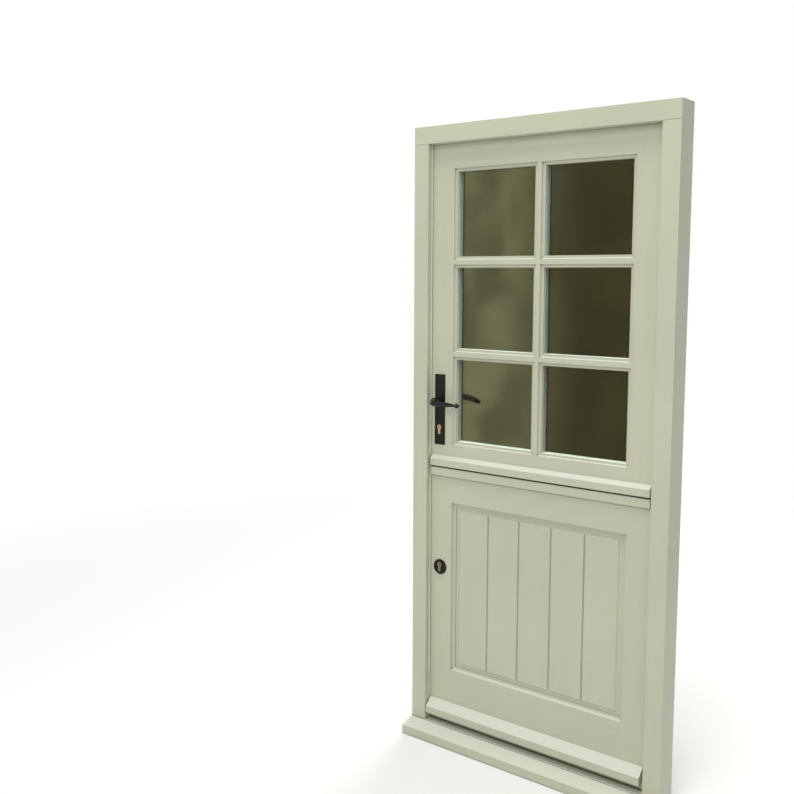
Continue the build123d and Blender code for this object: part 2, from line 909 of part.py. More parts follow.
def make_upper_lock_stile():
    """The upper leaf's lock stile, mortised for rails and lock, bored for the handle."""
    rect = Rect(leaf_left, opening_left, upper_bottom, upper_top)
    outlines = strips([lights[row, 0] for row in range(rows)], mould_width, "left")
    worked = moulded_member(rect, outlines, glazing_cutter)
    with BuildPart() as upper_lock_stile:
        add(worked)
        for rail in (top_rail_rect, bottom_rail_rect):
            rail_tenons(rail, glue_gap, Mode.SUBTRACT)
        for level in bar_levels:
            bar_tenons(level, glue_gap, Mode.SUBTRACT)
        cut_lock_mortise(upper_case_span, upper_faceplate_span, upper_case_reach, handle_x,
                         cylinder_z)
        across(handle_x, spindle_height, neck_radius + pocket_spare, leaf_front - beyond,
               leaf_back + beyond, Mode.SUBTRACT)
        for height in through_bolt_heights:
            across(handle_x, height, through_bolt_radius + case_clearance, leaf_front - beyond,
                   leaf_back + beyond, Mode.SUBTRACT)
    upper_lock_stile.part.label = "upper_lock_stile"
    export_step(upper_lock_stile.part, "parts/upper_lock_stile.step")


def make_upper_hinge_stile():
    """The upper leaf's hinge stile, mortised for the rails, with the flaps let in."""
    rect = Rect(opening_right, leaf_right, upper_bottom, upper_top)
    outlines = strips([lights[row, columns - 1] for row in range(rows)], mould_width, "right")
    worked = moulded_member(rect, outlines, glazing_cutter)
    with BuildPart() as upper_hinge_stile:
        add(worked)
        for rail in (top_rail_rect, bottom_rail_rect):
            rail_tenons(rail, glue_gap, Mode.SUBTRACT)
        for level in bar_levels:
            bar_tenons(level, glue_gap, Mode.SUBTRACT)
        cut_flap_beds(upper_hinges)
    upper_hinge_stile.part.label = "upper_hinge_stile"
    export_step(upper_hinge_stile.part, "parts/upper_hinge_stile.step")


def make_upper_rails():
    """The top and bottom rails of the upper leaf, tenoned into its stiles."""
    tower_screws = connecting_screw_places(upper_tower_screw_heights)
    for name, rect, row, side in (
        ("upper_top_rail", top_rail_rect, rows - 1, "top"),
        ("upper_bottom_rail", bottom_rail_rect, 0, "bottom"),
    ):
        outlines = strips([lights[row, column] for column in range(columns)], mould_width, side)
        worked = moulded_member(rect, outlines, glazing_cutter)
        with BuildPart() as rail:
            add(worked)
            rail_tenons(rect)
            upright_bar_tenons(glue_gap, Mode.SUBTRACT)
            if side == "bottom":
                screws(tower_screws, small_screw_head, small_screw_radius, tower_screw_length,
                       screw_clearance, Mode.SUBTRACT)
        rail.part.label = name
        export_step(rail.part, f"parts/{name}.step")


def make_vertical_glazing_bar():
    """The upright glazing bar, whole in front and halved behind at each crossing."""
    half = bar_face / 2
    tongue = half + mould_width - glass_rebate + glue_gap
    rect = Rect(leaf_centre - half, leaf_centre + half, glazed_bottom, glazed_top)
    outlines = strips([lights[row, 0] for row in range(rows)], mould_width, "right")
    outlines += strips([lights[row, 1] for row in range(rows)], mould_width, "left")
    worked = moulded_member(rect, outlines, glazing_cutter)
    with BuildPart() as vertical_glazing_bar:
        add(worked)
        upright_bar_tenons()
        for level in bar_levels:
            block(
                (leaf_centre - half, leaf_centre + half),
                (leaf_middle - glue_gap, leaf_back + beyond),
                (level - tongue, level + tongue),
                Mode.SUBTRACT,
            )
    vertical_glazing_bar.part.label = "vertical_glazing_bar"
    export_step(vertical_glazing_bar.part, "parts/vertical_glazing_bar.step")


def make_level_glazing_bars():
    """The two level glazing bars, each halved over the upright one."""
    half = bar_face / 2
    tongue = half + mould_width - glass_rebate
    for number, name in enumerate(("low_glazing_bar", "high_glazing_bar")):
        level = bar_levels[number]
        outlines = strips([lights[number, column] for column in range(columns)], mould_width, "top")
        outlines += strips([lights[number + 1, column] for column in range(columns)], mould_width,
                           "bottom")
        left = moulded_member(
            Rect(opening_left, leaf_centre - half, level - half, level + half),
            outlines, glazing_cutter,
        )
        with BuildPart() as bar:
            add(left)
            block((leaf_centre + half, opening_right), (leaf_front, leaf_back),
                  (level - half, level + half))
            add(glazing_cutter, mode=Mode.SUBTRACT)
            bar_tenons(level)
            block((leaf_centre - half, leaf_centre + half), (leaf_middle, leaf_back),
                  (level - tongue, level + tongue))
        bar.part.label = name
        export_step(bar.part, f"parts/{name}.step")


def make_glass():
    """One sealed unit for each light: two sheets of glass, a cavity apart."""
    for (row, column), light in lights.items():
        name = f"glass_{row_names[row]}_{column_names[column]}"
        pane = inset(light, mould_width - glass_cover)
        with BuildPart() as unit:
            for front in (glass_front, glass_back - sheet_thickness):
                prism(pane, front, front + sheet_thickness)
        unit.part.label = name
        export_step(unit.part, f"parts/{name}.step")


def make_glass_spacers():
    """The spacer frame between the two sheets of each unit, its edge on the sight line."""
    with BuildPart() as glass_spacers:
        for light in lights.values():
            sight = inset(light, mould_width)
            prism(inset(sight, -spacer_height), glass_front + sheet_thickness,
                  glass_back - sheet_thickness)
            prism(sight, glass_front, glass_back, Mode.SUBTRACT)
    glass_spacers.part.label = "glass_spacers"
    export_step(glass_spacers.part, "parts/glass_spacers.step")


def make_glazing_tapes():
    """The tape that each unit is bedded on, against the fillet of the moulding."""
    with BuildPart() as glazing_tapes:
        for light in lights.values():
            sight = inset(light, mould_width)
            prism(inset(sight, -glass_cover), seat_front, glass_front)
            prism(sight, seat_front - beyond, glass_front + beyond, Mode.SUBTRACT)
    glazing_tapes.part.label = "glazing_tapes"
    export_step(glazing_tapes.part, "parts/glazing_tapes.step")


def make_glazing_beads():
    """The mitred inner beads that hold the units in, four round each."""
    depth = leaf_back - glass_back
    coves = []
    outlines = []
    for light in lights.values():
        sight = inset(light, mould_width)
        edge = inset(sight, -glass_rebate)
        coves.append(cove_block(inset(sight, -bead_recess), leaf_back, depth - bead_recess,
                                bead_cove, -1))
        for side in ("left", "right", "bottom", "top"):
            outlines.append(section(elevation(glass_back), mitred_strip(edge, sight, side, glue_gap)))
    beads = [bead for outline in outlines for bead in mitred_bead(outline, depth, coves)]
    with BuildPart() as glazing_beads:
        add(beads)
    glazing_beads.part.label = "glazing_beads"
    export_step(glazing_beads.part, "parts/glazing_beads.step")


def mitred_bead(outline, depth, coves):
    """One bead of its own timber, coved on its free edge, clear of its neighbours."""
    with BuildPart() as bead:
        extrude(outline, amount=-depth)
        add(coves, mode=Mode.SUBTRACT)
    return bead.part.solids()


def bar_spans():
    """Where the bars across the leaves start and end, short of the frame's stops."""
    return -stop_edge + bar_lock_clearance, stop_edge - bar_hinge_clearance


def face_bar(points):
    """A bar planted across a leaf's face, from its section, with its front arrises eased."""
    left, right = bar_spans()
    profile = section(Plane.YZ.offset(left), points)
    with BuildPart() as bar:
        extrude(profile, amount=right - left)
        front = bar.edges().filter_by(Axis.X).group_by(Axis.Y)[0]
        fillet(front, bar_round)
    return bar.part


def cut_throat(y, low):
    """The drip throat along the underside of a bar."""
    left, right = bar_spans()
    block((left - beyond, right + beyond), (y - throat / 2, y + throat / 2),
          (low - beyond, low + throat / 2), Mode.SUBTRACT)


def make_upper_weather_bar():
    """The weather bar at the foot of the upper leaf, splayed on top."""
    front = leaf_front - upper_bar_projection
    top = upper_bottom + upper_bar_height
    bar = face_bar(
        (
            (leaf_front, upper_bottom),
            (front, upper_bottom),
            (front, top),
            (leaf_front, top + upper_bar_projection),
        )
    )
    with BuildPart() as upper_weather_bar:
        add(bar)
        cut_throat(leaf_front - upper_bar_projection / 2, upper_bottom)
    upper_weather_bar.part.label = "upper_weather_bar"
    export_step(upper_weather_bar.part, "parts/upper_weather_bar.step")


def make_meeting_band():
    """The flat band along the top of the lower leaf, under the weather bar."""
    front = leaf_front - band_projection
    band = face_bar(
        (
            (leaf_front, lower_top - band_height),
            (front, lower_top - band_height),
            (front, lower_top),
            (leaf_front, lower_top),
        )
    )
    with BuildPart() as meeting_band:
        add(band)
    meeting_band.part.label = "meeting_band"
    export_step(meeting_band.part, "parts/meeting_band.step")


def make_lower_weather_bar():
    """The deep weather bar near the foot of the lower leaf, sloped to shed the rain."""
    front = leaf_front - drip_bar_projection
    low = lower_bottom + drip_bar_rise
    top = low + drip_bar_height
    bar = face_bar(
        (
            (leaf_front, low),
            (front, low),
            (front, top),
            (leaf_front, top + drip_bar_slope),
        )
    )
    with BuildPart() as lower_weather_bar:
        add(bar)
        cut_throat(front + drip_throat_setback, low)
    lower_weather_bar.part.label = "lower_weather_bar"
    export_step(lower_weather_bar.part, "parts/lower_weather_bar.step")


def make_lower_stiles():
    """The two stiles of the lower leaf, one for the lock and one for the hinges."""
    lock_rect = Rect(leaf_left, opening_left, lower_bottom, lower_top)
    hinge_rect = Rect(opening_right, leaf_right, lower_bottom, lower_top)
    lock_side = moulded_member(lock_rect, strips([panel_face], panel_mould_width, "left"),
                               panel_cutter)
    hinge_side = moulded_member(hinge_rect, strips([panel_face], panel_mould_width, "right"),
                                panel_cutter)
    with BuildPart() as lower_lock_stile:
        add(lock_side)
        for rail in (middle_rail_rect, kick_rail_rect):
            rail_tenons(rail, glue_gap, Mode.SUBTRACT)
        cut_lock_mortise(lower_case_span, lower_faceplate_span, lower_case_reach,
                         lower_handle_x, lower_cylinder_height)
        cut_seal_groove()
        screws(escutcheon_screw_places(), small_screw_head, small_screw_radius,
               small_screw_length, screw_clearance, Mode.SUBTRACT)
    lower_lock_stile.part.label = "lower_lock_stile"
    export_step(lower_lock_stile.part, "parts/lower_lock_stile.step")
    with BuildPart() as lower_hinge_stile:
        add(hinge_side)
        for rail in (middle_rail_rect, kick_rail_rect):
            rail_tenons(rail, glue_gap, Mode.SUBTRACT)
        cut_seal_groove()
        cut_flap_beds(lower_hinges)
    lower_hinge_stile.part.label = "lower_hinge_stile"
    export_step(lower_hinge_stile.part, "parts/lower_hinge_stile.step")


def make_lower_rails():
    """The top and bottom rails of the lower leaf, tenoned into its stiles."""
    keep_screws = connecting_screw_places([lower_tower_screw_height])
    for name, rect, side in (
        ("lower_top_rail", middle_rail_rect, "top"),
        ("lower_bottom_rail", kick_rail_rect, "bottom"),
    ):
        worked = moulded_member(rect, strips([panel_face], panel_mould_width, side), panel_cutter)
        with BuildPart() as rail:
            add(worked)
            rail_tenons(rect)
            if side == "top":
                cut_seal_groove()
                screws(keep_screws, small_screw_head, small_screw_radius, tower_screw_length,
                       screw_clearance, Mode.SUBTRACT)
        rail.part.label = name
        export_step(rail.part, f"parts/{name}.step")


def raised_field(face, inward):
    """One raised and bevelled field of the panel, scored into boards by vee grooves."""
    field = inset(panel_sight, panel_border)
    depth = leaf_front + panel_margin_depth if inward > 0 else leaf_back - panel_margin_depth
    step = (field.right - field.left) / board_count
    half_cut = vee_width / 2 * (vee_depth + beyond) / vee_depth
    vees = [
        section(
            Plane.XY.offset(field.bottom - beyond),
            (
                (field.left + step * number - half_cut, face - inward * beyond),
                (field.left + step * number, face + inward * vee_depth),
                (field.left + step * number + half_cut, face - inward * beyond),
            ),
        )
        for number in range(1, board_count)
    ]
    with BuildPart() as raised:
        for level, rect in ((depth, field), (face, inset(field, panel_bevel))):
            with BuildSketch(elevation(level)):
                with Locations(((rect.left + rect.right) / 2, (rect.bottom + rect.top) / 2)):
                    Rectangle(rect.right - rect.left, rect.top - rect.bottom)
        loft()
        for vee in vees:
            extrude(vee, amount=field.top - field.bottom + 2 * beyond, mode=Mode.SUBTRACT)
    return raised.part


def make_lower_panel():
    """The panel of the lower leaf, held in its groove, raised on both faces."""
    outer_margin = leaf_front + panel_margin_depth
    inner_margin = leaf_back - panel_margin_depth
    outside = raised_field(outer_margin - panel_raise, 1)
    inside = raised_field(inner_margin + panel_raise, -1)
    with BuildPart() as lower_panel:
        prism(inset(panel_sight, -panel_tongue), outer_margin, inner_margin)
        add(outside)
        add(inside)
    lower_panel.part.label = "lower_panel"
    export_step(lower_panel.part, "parts/lower_panel.step")


def cut_seal_groove():
    """The groove for the meeting seal along the top edge of the lower leaf."""
    half = meeting_seal_width / 2
    block(
        (leaf_left, leaf_right),
        (leaf_middle - half, leaf_middle + half),
        (lower_top - meeting_seal_groove, lower_top + beyond),
        Mode.SUBTRACT,
    )


def make_meeting_seal():
    """The seal between the two leaves, seated in the top edge of the lower one."""
    half = meeting_seal_width / 2 - glue_gap
    with BuildPart() as meeting_seal:
        block(
            (leaf_left + seal_clearance, leaf_right - flap_thickness),
            (leaf_middle - half, leaf_middle + half),
            (lower_top - meeting_seal_groove, upper_bottom - seal_clearance),
        )
        fillet(meeting_seal.edges().filter_by(Axis.X).group_by(Axis.Z)[-1], seal_round)
    meeting_seal.part.label = "meeting_seal"
    export_step(meeting_seal.part, "parts/meeting_seal.step")


def lock_case(name, case_span, faceplate_span, reach, cylinder_x, plug_z, channels, bore_z):
    """A lock case on its faceplate, channelled for its bolts and cut for its cylinder."""
    half_case = case_thickness / 2
    half_plate = faceplate_width / 2
    half_bolt = bolt_thickness / 2 + slide_clearance
    hole = cylinder_outline(elevation(leaf_front), cylinder_x, plug_z, case_clearance)
    with BuildPart() as case:
        block((leaf_left, leaf_left + faceplate_thickness),
              (leaf_middle - half_plate, leaf_middle + half_plate), faceplate_span)
        fillet(case.edges().filter_by(Axis.X), arris)
        block((leaf_left, leaf_left + reach), (leaf_middle - half_case, leaf_middle + half_case),
              case_span)
        for centre, height, length in channels:
            half_height = height / 2 + slide_clearance
            block((leaf_left - beyond, leaf_left + length + slide_clearance),
                  (leaf_middle - half_bolt, leaf_middle + half_bolt),
                  (centre - half_height, centre + half_height), Mode.SUBTRACT)
        extrude(hole, amount=-leaf_thickness, mode=Mode.SUBTRACT)
        cam_room = cam_thickness / 2 + cam_clearance
        across(cylinder_x, plug_z, cam_radius + cam_clearance, leaf_middle - cam_room,
               leaf_middle + cam_room, Mode.SUBTRACT)
        if bore_z is not None:
            across(cylinder_x, bore_z, follower_radius + running_clearance, leaf_front,
                   leaf_back, Mode.SUBTRACT)
        screws(faceplate_screw_places(*faceplate_span), small_screw_head, small_screw_radius,
               small_screw_length, screw_clearance, Mode.SUBTRACT)
    case.part.label = name
    export_step(case.part, f"parts/{name}.step")


def make_bolt(name, centre, height, length):
    """A sliding bolt or latch, drawn back flush with the faceplate."""
    half = bolt_thickness / 2
    with BuildPart() as bolt:
        block((leaf_left, leaf_left + length), (leaf_middle - half, leaf_middle + half),
              (centre - height / 2, centre + height / 2))
        chamfer(bolt.faces().sort_by(Axis.X)[0].edges().filter_by(Axis.Z), arris)
    bolt.part.label = name
    export_step(bolt.part, f"parts/{name}.step")


def make_cylinder_body(name, x, z):
    """The fixed body of a profile cylinder, open round its plug and its cam."""
    outline = cylinder_outline(elevation(plate_front - cylinder_proud), x, z)
    cam_room = cam_thickness / 2 + cam_clearance
    reach = cam_radius + cam_clearance
    with BuildPart() as body:
        extrude(outline, amount=plate_front - plate_back - 2 * cylinder_proud)
        across(x, z, plug_radius + running_clearance, plate_front - 2 * cylinder_proud,
               plate_back + 2 * cylinder_proud, Mode.SUBTRACT)
        block((x - reach, x + reach), (leaf_middle - cam_room, leaf_middle + cam_room),
              (z - reach, z + reach), Mode.SUBTRACT)
    body.part.label = name
    export_step(body.part, f"parts/{name}.step")


def make_plug(name, x, z):
    """The turning plug with its cam in the middle and a key slot in each end."""
    front = plate_front - cylinder_proud
    back = plate_back + cylinder_proud
    half_slot = key_slot_width / 2
    half_cam = cam_width / 2
    with BuildPart() as plug:
        across(x, z, plug_radius, front, back)
        block((x - half_cam, x + half_cam),
              (leaf_middle - cam_thickness / 2, leaf_middle + cam_thickness / 2),
              (z, z + cam_radius - cam_clearance))
        for y_span in ((front - beyond, front + key_slot_depth),
                       (back - key_slot_depth, back + beyond)):
            block((x - half_slot, x + half_slot), y_span,
                  (z - key_slot_height / 2, z + key_slot_height / 2), Mode.SUBTRACT)
    plug.part.label = name
    export_step(plug.part, f"parts/{name}.step")


def make_handle_plate(name, face, outward):
    """A long handle plate with its collar, cut for the lever's neck and the cylinder."""
    outside = face + outward * plate_thickness
    collar_end = outside + outward * collar_height
    rim = Rect(handle_x - plate_width / 2, handle_x + plate_width / 2, plate_bottom, plate_top)
    hole = cylinder_outline(elevation(leaf_front - 2 * plate_thickness), handle_x, cylinder_z,
                            case_clearance)
    with BuildPart() as plate:
        prism(rim, min(face, outside), max(face, outside))
        front = plate.faces().sort_by(Axis.Y)[0 if outward < 0 else -1]
        chamfer(front.edges(), plate_round)
        across(handle_x, spindle_height, collar_radius, min(face, collar_end),
               max(face, collar_end))
        rim_edge = plate.faces().sort_by(Axis.Y)[0 if outward < 0 else -1]
        fillet(rim_edge.edges(), plate_round)
        across(handle_x, spindle_height, neck_radius + running_clearance,
               min(face, collar_end) - beyond, max(face, collar_end) + beyond, Mode.SUBTRACT)
        extrude(hole, amount=-leaf_thickness - 4 * plate_thickness, mode=Mode.SUBTRACT)
        bolt_bore = through_bolt_radius + case_clearance
        for height in through_bolt_heights:
            start, end = (face - beyond, outside + beyond) if outward > 0 else (
                face - plate_thickness / 2, face + beyond)
            across(handle_x, height, bolt_bore, start, end, Mode.SUBTRACT)
    plate.part.label = name
    export_step(plate.part, f"parts/{name}.step")


def spindle_socket(lever_y, towards):
    """The square hole in a lever's neck, open towards the door."""
    half = (spindle_width + spindle_play) / 2
    end = lever_y + towards * (lever_standoff + beyond)
    start = lever_y + towards * (lever_standoff - spindle_into_lever - spindle_play)
    block((handle_x - half, handle_x + half), (min(start, end), max(start, end)),
          (spindle_height - half, spindle_height + half), Mode.SUBTRACT)


def make_outer_lever():
    """The outside lever: a round elbow, and below it a turned grip with a pointed bulb finial."""
    start = (handle_x, outer_lever_y, spindle_height - lever_drop)
    plane = Plane(start, x_dir=(1, 0, 0), z_dir=(0, -1, 0))
    dome = lever_end_radius - lever_back
    flare = lever_waist_at + finial_flare
    rim = flare + finial_rim
    tip = rim + finial_length
    with BuildPart() as outer_lever:
        with BuildSketch(plane):
            with BuildLine():
                cap = CenterArc((dome, 0), lever_end_radius, 180, -lever_end_sweep)
                TangentArc(cap @ 1, (lever_barrel, lever_radius), tangent=cap % 1)
                TangentArc((lever_barrel, lever_radius), (lever_waist_at, lever_waist),
                           tangent=(1, 0))
                Line((lever_waist_at, lever_waist), (flare, finial_radius))
                Line((flare, finial_radius), (rim, finial_radius))
                ThreePointArc((rim, finial_radius), (rim + finial_length / 2, finial_bulge),
                              (tip - finial_tip, finial_tip))
                CenterArc((tip - finial_tip, 0), finial_tip, 90, -90)
                Line((tip, 0), (-lever_back, 0))
            make_face()
        revolve(axis=Axis(start, (1, 0, 0)))
        with Locations((handle_x, outer_lever_y, spindle_height)):
            Sphere(elbow_radius)
        across(handle_x, spindle_height, elbow_radius, outer_lever_y, elbow_back)
        across(handle_x, spindle_height, neck_radius, elbow_back, leaf_front - case_clearance)
        spindle_socket(outer_lever_y, 1)
    outer_lever.part.label = "outer_lever"
    export_step(outer_lever.part, "parts/outer_lever.step")


def make_inner_lever():
    """The inside lever: an oval grip that rises from its neck and droops at the tip."""
    plane = Plane((handle_x, inner_lever_y, spindle_height), x_dir=(1, 0, 0), z_dir=(0, -1, 0))
    with BuildLine(plane) as spine:
        ThreePointArc((-inner_lever_back, 0), (inner_lever_crest_at, inner_lever_rise),
                      (inner_lever_reach, -inner_lever_droop))
    course = spine.edges()[0]
    with BuildPart() as inner_lever:
        for number, swell in enumerate(inner_lever_taper):
            share = number / (len(inner_lever_taper) - 1)
            across_grip = Plane(course @ share, x_dir=(0, 1, 0), z_dir=course % share)
            with BuildSketch(across_grip):
                Ellipse(inner_lever_thickness / 2 * swell, inner_lever_width / 2 * swell)
        loft()
        fillet(inner_lever.faces().sort_by(Axis.X)[-1].edges(), inner_lever_round)
        across(handle_x, spindle_height, neck_radius, leaf_back + case_clearance, inner_lever_y)
        spindle_socket(inner_lever_y, -1)
    inner_lever.part.label = "inner_lever"
    export_step(inner_lever.part, "parts/inner_lever.step")


def make_spindle():
    """The square spindle through both levers and the lock."""
    half = spindle_width / 2
    reach = lever_standoff - spindle_into_lever
    with BuildPart() as spindle:
        block((handle_x - half, handle_x + half),
              (outer_lever_y + reach, inner_lever_y - reach),
              (spindle_height - half, spindle_height + half))
    spindle.part.label = "spindle"
    export_step(spindle.part, "parts/spindle.step")


def make_follower():
    """The hub inside the lock that the spindle turns."""
    half = (spindle_width + spindle_play) / 2
    half_case = case_thickness / 2
    with BuildPart() as follower:
        across(handle_x, spindle_height, follower_radius, leaf_middle - half_case,
               leaf_middle + half_case)
        block((handle_x - half, handle_x + half), (leaf_front, leaf_back),
              (spindle_height - half, spindle_height + half), Mode.SUBTRACT)
    follower.part.label = "follower"
    export_step(follower.part, "parts/follower.step")


def escutcheon_screw_places():
    """The two screws of the inner escutcheon, one each side of the cylinder."""
    return [
        Plane((lower_handle_x + side * escutcheon_screws_apart / 2,
               leaf_back + escutcheon_thickness, escutcheon_z), x_dir=(1, 0, 0), z_dir=(0, 1, 0))
        for side in (-1, 1)
    ]


def make_escutcheon(name, face, outward):
    """A round escutcheon, eased at its rim, cut for the cylinder."""
    outside = face + outward * escutcheon_thickness
    hole = cylinder_outline(elevation(leaf_front - 2 * plate_thickness), lower_handle_x,
                            lower_cylinder_height, case_clearance)
    with BuildPart() as escutcheon:
        across(lower_handle_x, escutcheon_z, escutcheon_radius, min(face, outside),
               max(face, outside))
        front = escutcheon.faces().sort_by(Axis.Y)[0 if outward < 0 else -1]
        fillet(front.edges(), escutcheon_round)
        extrude(hole, amount=-leaf_thickness - 4 * plate_thickness, mode=Mode.SUBTRACT)
        if outward > 0:
            screws(escutcheon_screw_places(), small_screw_head, small_screw_radius,
                   small_screw_length, screw_clearance, Mode.SUBTRACT)
    escutcheon.part.label = name
    export_step(escutcheon.part, f"parts/{name}.step")


def connecting_screw_places(heights):
    """Screws of the connecting bolt's housing or keep, in its side lugs."""
    return [
        Plane((tower_x + side * (tower_width / 2 - tower_screw_edge), tower_face, z),
              x_dir=(1, 0, 0), z_dir=(0, 1, 0))
        for z in heights
        for side in (-1, 1)
    ]


def make_connecting_bolt_housing():
    """The housing on the upper leaf's inside face, slotted for the bolt's knob."""
    half = tower_width / 2
    slot = knob_stem + running_clearance + slide_clearance
    with BuildPart() as connecting_bolt_housing:
        block((tower_x - half, tower_x + half), (leaf_back, tower_face),
              (tower_low, tower_low + tower_height))
        front = connecting_bolt_housing.faces().sort_by(Axis.Y)[-1]
        chamfer(front.edges(), tower_round / 2)
        with BuildSketch(Plane.XY.offset(tower_low - beyond)) as bore:
            with Locations((tower_x, rod_y)):
                Circle(rod_radius + running_clearance)
        extrude(bore.sketch, amount=tower_height + 2 * beyond, mode=Mode.SUBTRACT)
        block((tower_x - slot, tower_x + slot), (rod_y, tower_face + beyond),
              (knob_z - rod_throw - slot, knob_z + slot), Mode.SUBTRACT)
        screws(connecting_screw_places(upper_tower_screw_heights), small_screw_head,
               small_screw_radius, tower_screw_length, screw_clearance,
               Mode.SUBTRACT)
    connecting_bolt_housing.part.label = "connecting_bolt_housing"
    export_step(connecting_bolt_housing.part, "parts/connecting_bolt_housing.step")


def make_connecting_bolt():
    """The bolt that ties the two leaves together, drawn up, with its turned knob."""
    reach = tower_face + knob_reach
    with BuildPart() as connecting_bolt:
        with BuildSketch(Plane.XY.offset(tower_low)) as rod:
            with Locations((tower_x, rod_y)):
                Circle(rod_radius)
        extrude(rod.sketch, amount=tower_height - knob_radius)
        chamfer(connecting_bolt.faces().sort_by(Axis.Z)[0].edges(), arris / 2)
        across(tower_x, knob_z, knob_stem, rod_y, tower_face + knob_stem)
        across(tower_x, knob_z, knob_radius, tower_face + knob_stem, reach)
        fillet(connecting_bolt.faces().sort_by(Axis.Y)[-1].edges(), arris)
    connecting_bolt.part.label = "connecting_bolt"
    export_step(connecting_bolt.part, "parts/connecting_bolt.step")


def make_connecting_bolt_keep():
    """The keep on the lower leaf's inside face that the connecting bolt drops into."""
    half = tower_width / 2
    low = lower_tower_top - tower_keep_height
    with BuildPart() as connecting_bolt_keep:
        block((tower_x - half, tower_x + half), (leaf_back, tower_face), (low, lower_tower_top))
        front = connecting_bolt_keep.faces().sort_by(Axis.Y)[-1]
        chamfer(front.edges(), tower_round / 2)
        with BuildSketch(Plane.XY.offset(low - beyond)) as bore:
            with Locations((tower_x, rod_y)):
                Circle(rod_radius + slide_clearance)
        extrude(bore.sketch, amount=tower_keep_height + 2 * beyond, mode=Mode.SUBTRACT)
        screws(connecting_screw_places([lower_tower_screw_height]), small_screw_head,
               small_screw_radius, tower_screw_length, screw_clearance,
               Mode.SUBTRACT)
    connecting_bolt_keep.part.label = "connecting_bolt_keep"
    export_step(connecting_bolt_keep.part, "parts/connecting_bolt_keep.step")


def through_bolts():
    """The bolts that draw the two handle plates together, headed on the inside."""
    for height in through_bolt_heights:
        across(handle_x, height, through_bolt_radius, leaf_front - plate_thickness / 2, plate_back)
        across(handle_x, height, through_bolt_head, plate_back, plate_back + plate_round)


def make_upper_screws():
    """The fasteners of the upper leaf: flaps, faceplate, handle plates, bolt housing."""
    with BuildPart() as upper_screws:
        for height in upper_hinges:
            screws(flap_screw_places(height, leaf_flap_face, 1), screw_head_radius,
                   screw_radius, screw_length)
        screws(faceplate_screw_places(*upper_faceplate_span), small_screw_head,
               small_screw_radius, small_screw_length)
        screws(connecting_screw_places(upper_tower_screw_heights), small_screw_head,
               small_screw_radius, tower_screw_length)
        through_bolts()
    upper_screws.part.label = "upper_screws"
    export_step(upper_screws.part, "parts/upper_screws.step")


def make_lower_screws():
    """The fasteners of the lower leaf: flaps, faceplate, escutcheon, bolt keep."""
    with BuildPart() as lower_screws:
        for height in lower_hinges:
            screws(flap_screw_places(height, leaf_flap_face, 1), screw_head_radius,
                   screw_radius, screw_length)
        screws(faceplate_screw_places(*lower_faceplate_span), small_screw_head,
               small_screw_radius, small_screw_length)
        screws(escutcheon_screw_places(), small_screw_head, small_screw_radius,
               small_screw_length)
        screws(connecting_screw_places([lower_tower_screw_height]), small_screw_head,
               small_screw_radius, tower_screw_length)
    lower_screws.part.label = "lower_screws"
    export_step(lower_screws.part, "parts/lower_screws.step")


# Frame
make_sill()
make_lock_jamb()
make_hinge_jamb()
make_head()
make_weather_seal()
make_keep("upper_keep", upper_keep_span,
          ((upper_bolt_z, bolt_height), (spindle_height, latch_height)))
make_keep("lower_keep", lower_keep_span, ((lower_bolt_z, bolt_height),))
make_frame_flaps("upper_hinge_frame_flaps", upper_hinges)
make_frame_flaps("lower_hinge_frame_flaps", lower_hinges)
make_hinge_pins()
make_frame_screws()

# Upper leaf
make_upper_lock_stile()
make_upper_hinge_stile()
make_upper_rails()
make_vertical_glazing_bar()
make_level_glazing_bars()
make_glass()
make_glass_spacers()
make_glazing_tapes()
make_glazing_beads()
make_upper_weather_bar()
make_leaf_flaps("upper_hinge_leaf_flaps", upper_hinges)
make_upper_screws()

# Lower leaf
make_lower_stiles()
make_lower_rails()
make_lower_panel()
make_meeting_band()
make_meeting_seal()
make_lower_weather_bar()
make_leaf_flaps("lower_hinge_leaf_flaps", lower_hinges)
make_lower_screws()

# Locks and handle
lock_case("upper_lock_case", upper_case_span, upper_faceplate_span, upper_case_reach,
          handle_x, cylinder_z,
          ((upper_bolt_z, bolt_height, bolt_length),
           (spindle_height, latch_height, latch_length)), spindle_height)
lock_case("lower_lock_case", lower_case_span, lower_faceplate_span, lower_case_reach,
          lower_handle_x, lower_cylinder_height,
          ((lower_bolt_z, bolt_height, bolt_length),), None)
make_bolt("upper_deadbolt", upper_bolt_z, bolt_height, bolt_length)
make_bolt("latch", spindle_height, latch_height, latch_length)
make_bolt("lower_deadbolt", lower_bolt_z, bolt_height, bolt_length)
make_cylinder_body("upper_cylinder_body", handle_x, cylinder_z)
make_cylinder_body("lower_cylinder_body", lower_handle_x, lower_cylinder_height)
make_plug("upper_plug", handle_x, cylinder_z)
make_plug("lower_plug", lower_handle_x, lower_cylinder_height)
make_handle_plate("outer_handle_plate", leaf_front, -1)
make_handle_plate("inner_handle_plate", leaf_back, 1)
make_outer_lever()
make_inner_lever()
make_spindle()
make_follower()
make_escutcheon("outer_escutcheon", leaf_front, -1)
make_escutcheon("inner_escutcheon", leaf_back, 1)
make_connecting_bolt_housing()
make_connecting_bolt()
make_connecting_bolt_keep()
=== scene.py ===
"""Dresses the painted timber stable door: paint, glass, ironmongery, locks, hinges and seals.

Sizes are in metres in the door's own frame: X along the wall from the lock side to the hinge
side, Y into the building, Z up, with the origin under the middle of the sill.
"""

import logging
import math
from abc import ABC, abstractmethod
from dataclasses import astuple, dataclass, field, replace
from enum import Enum
from typing import ClassVar

import bmesh
import bpy
from mathutils import Matrix, Vector

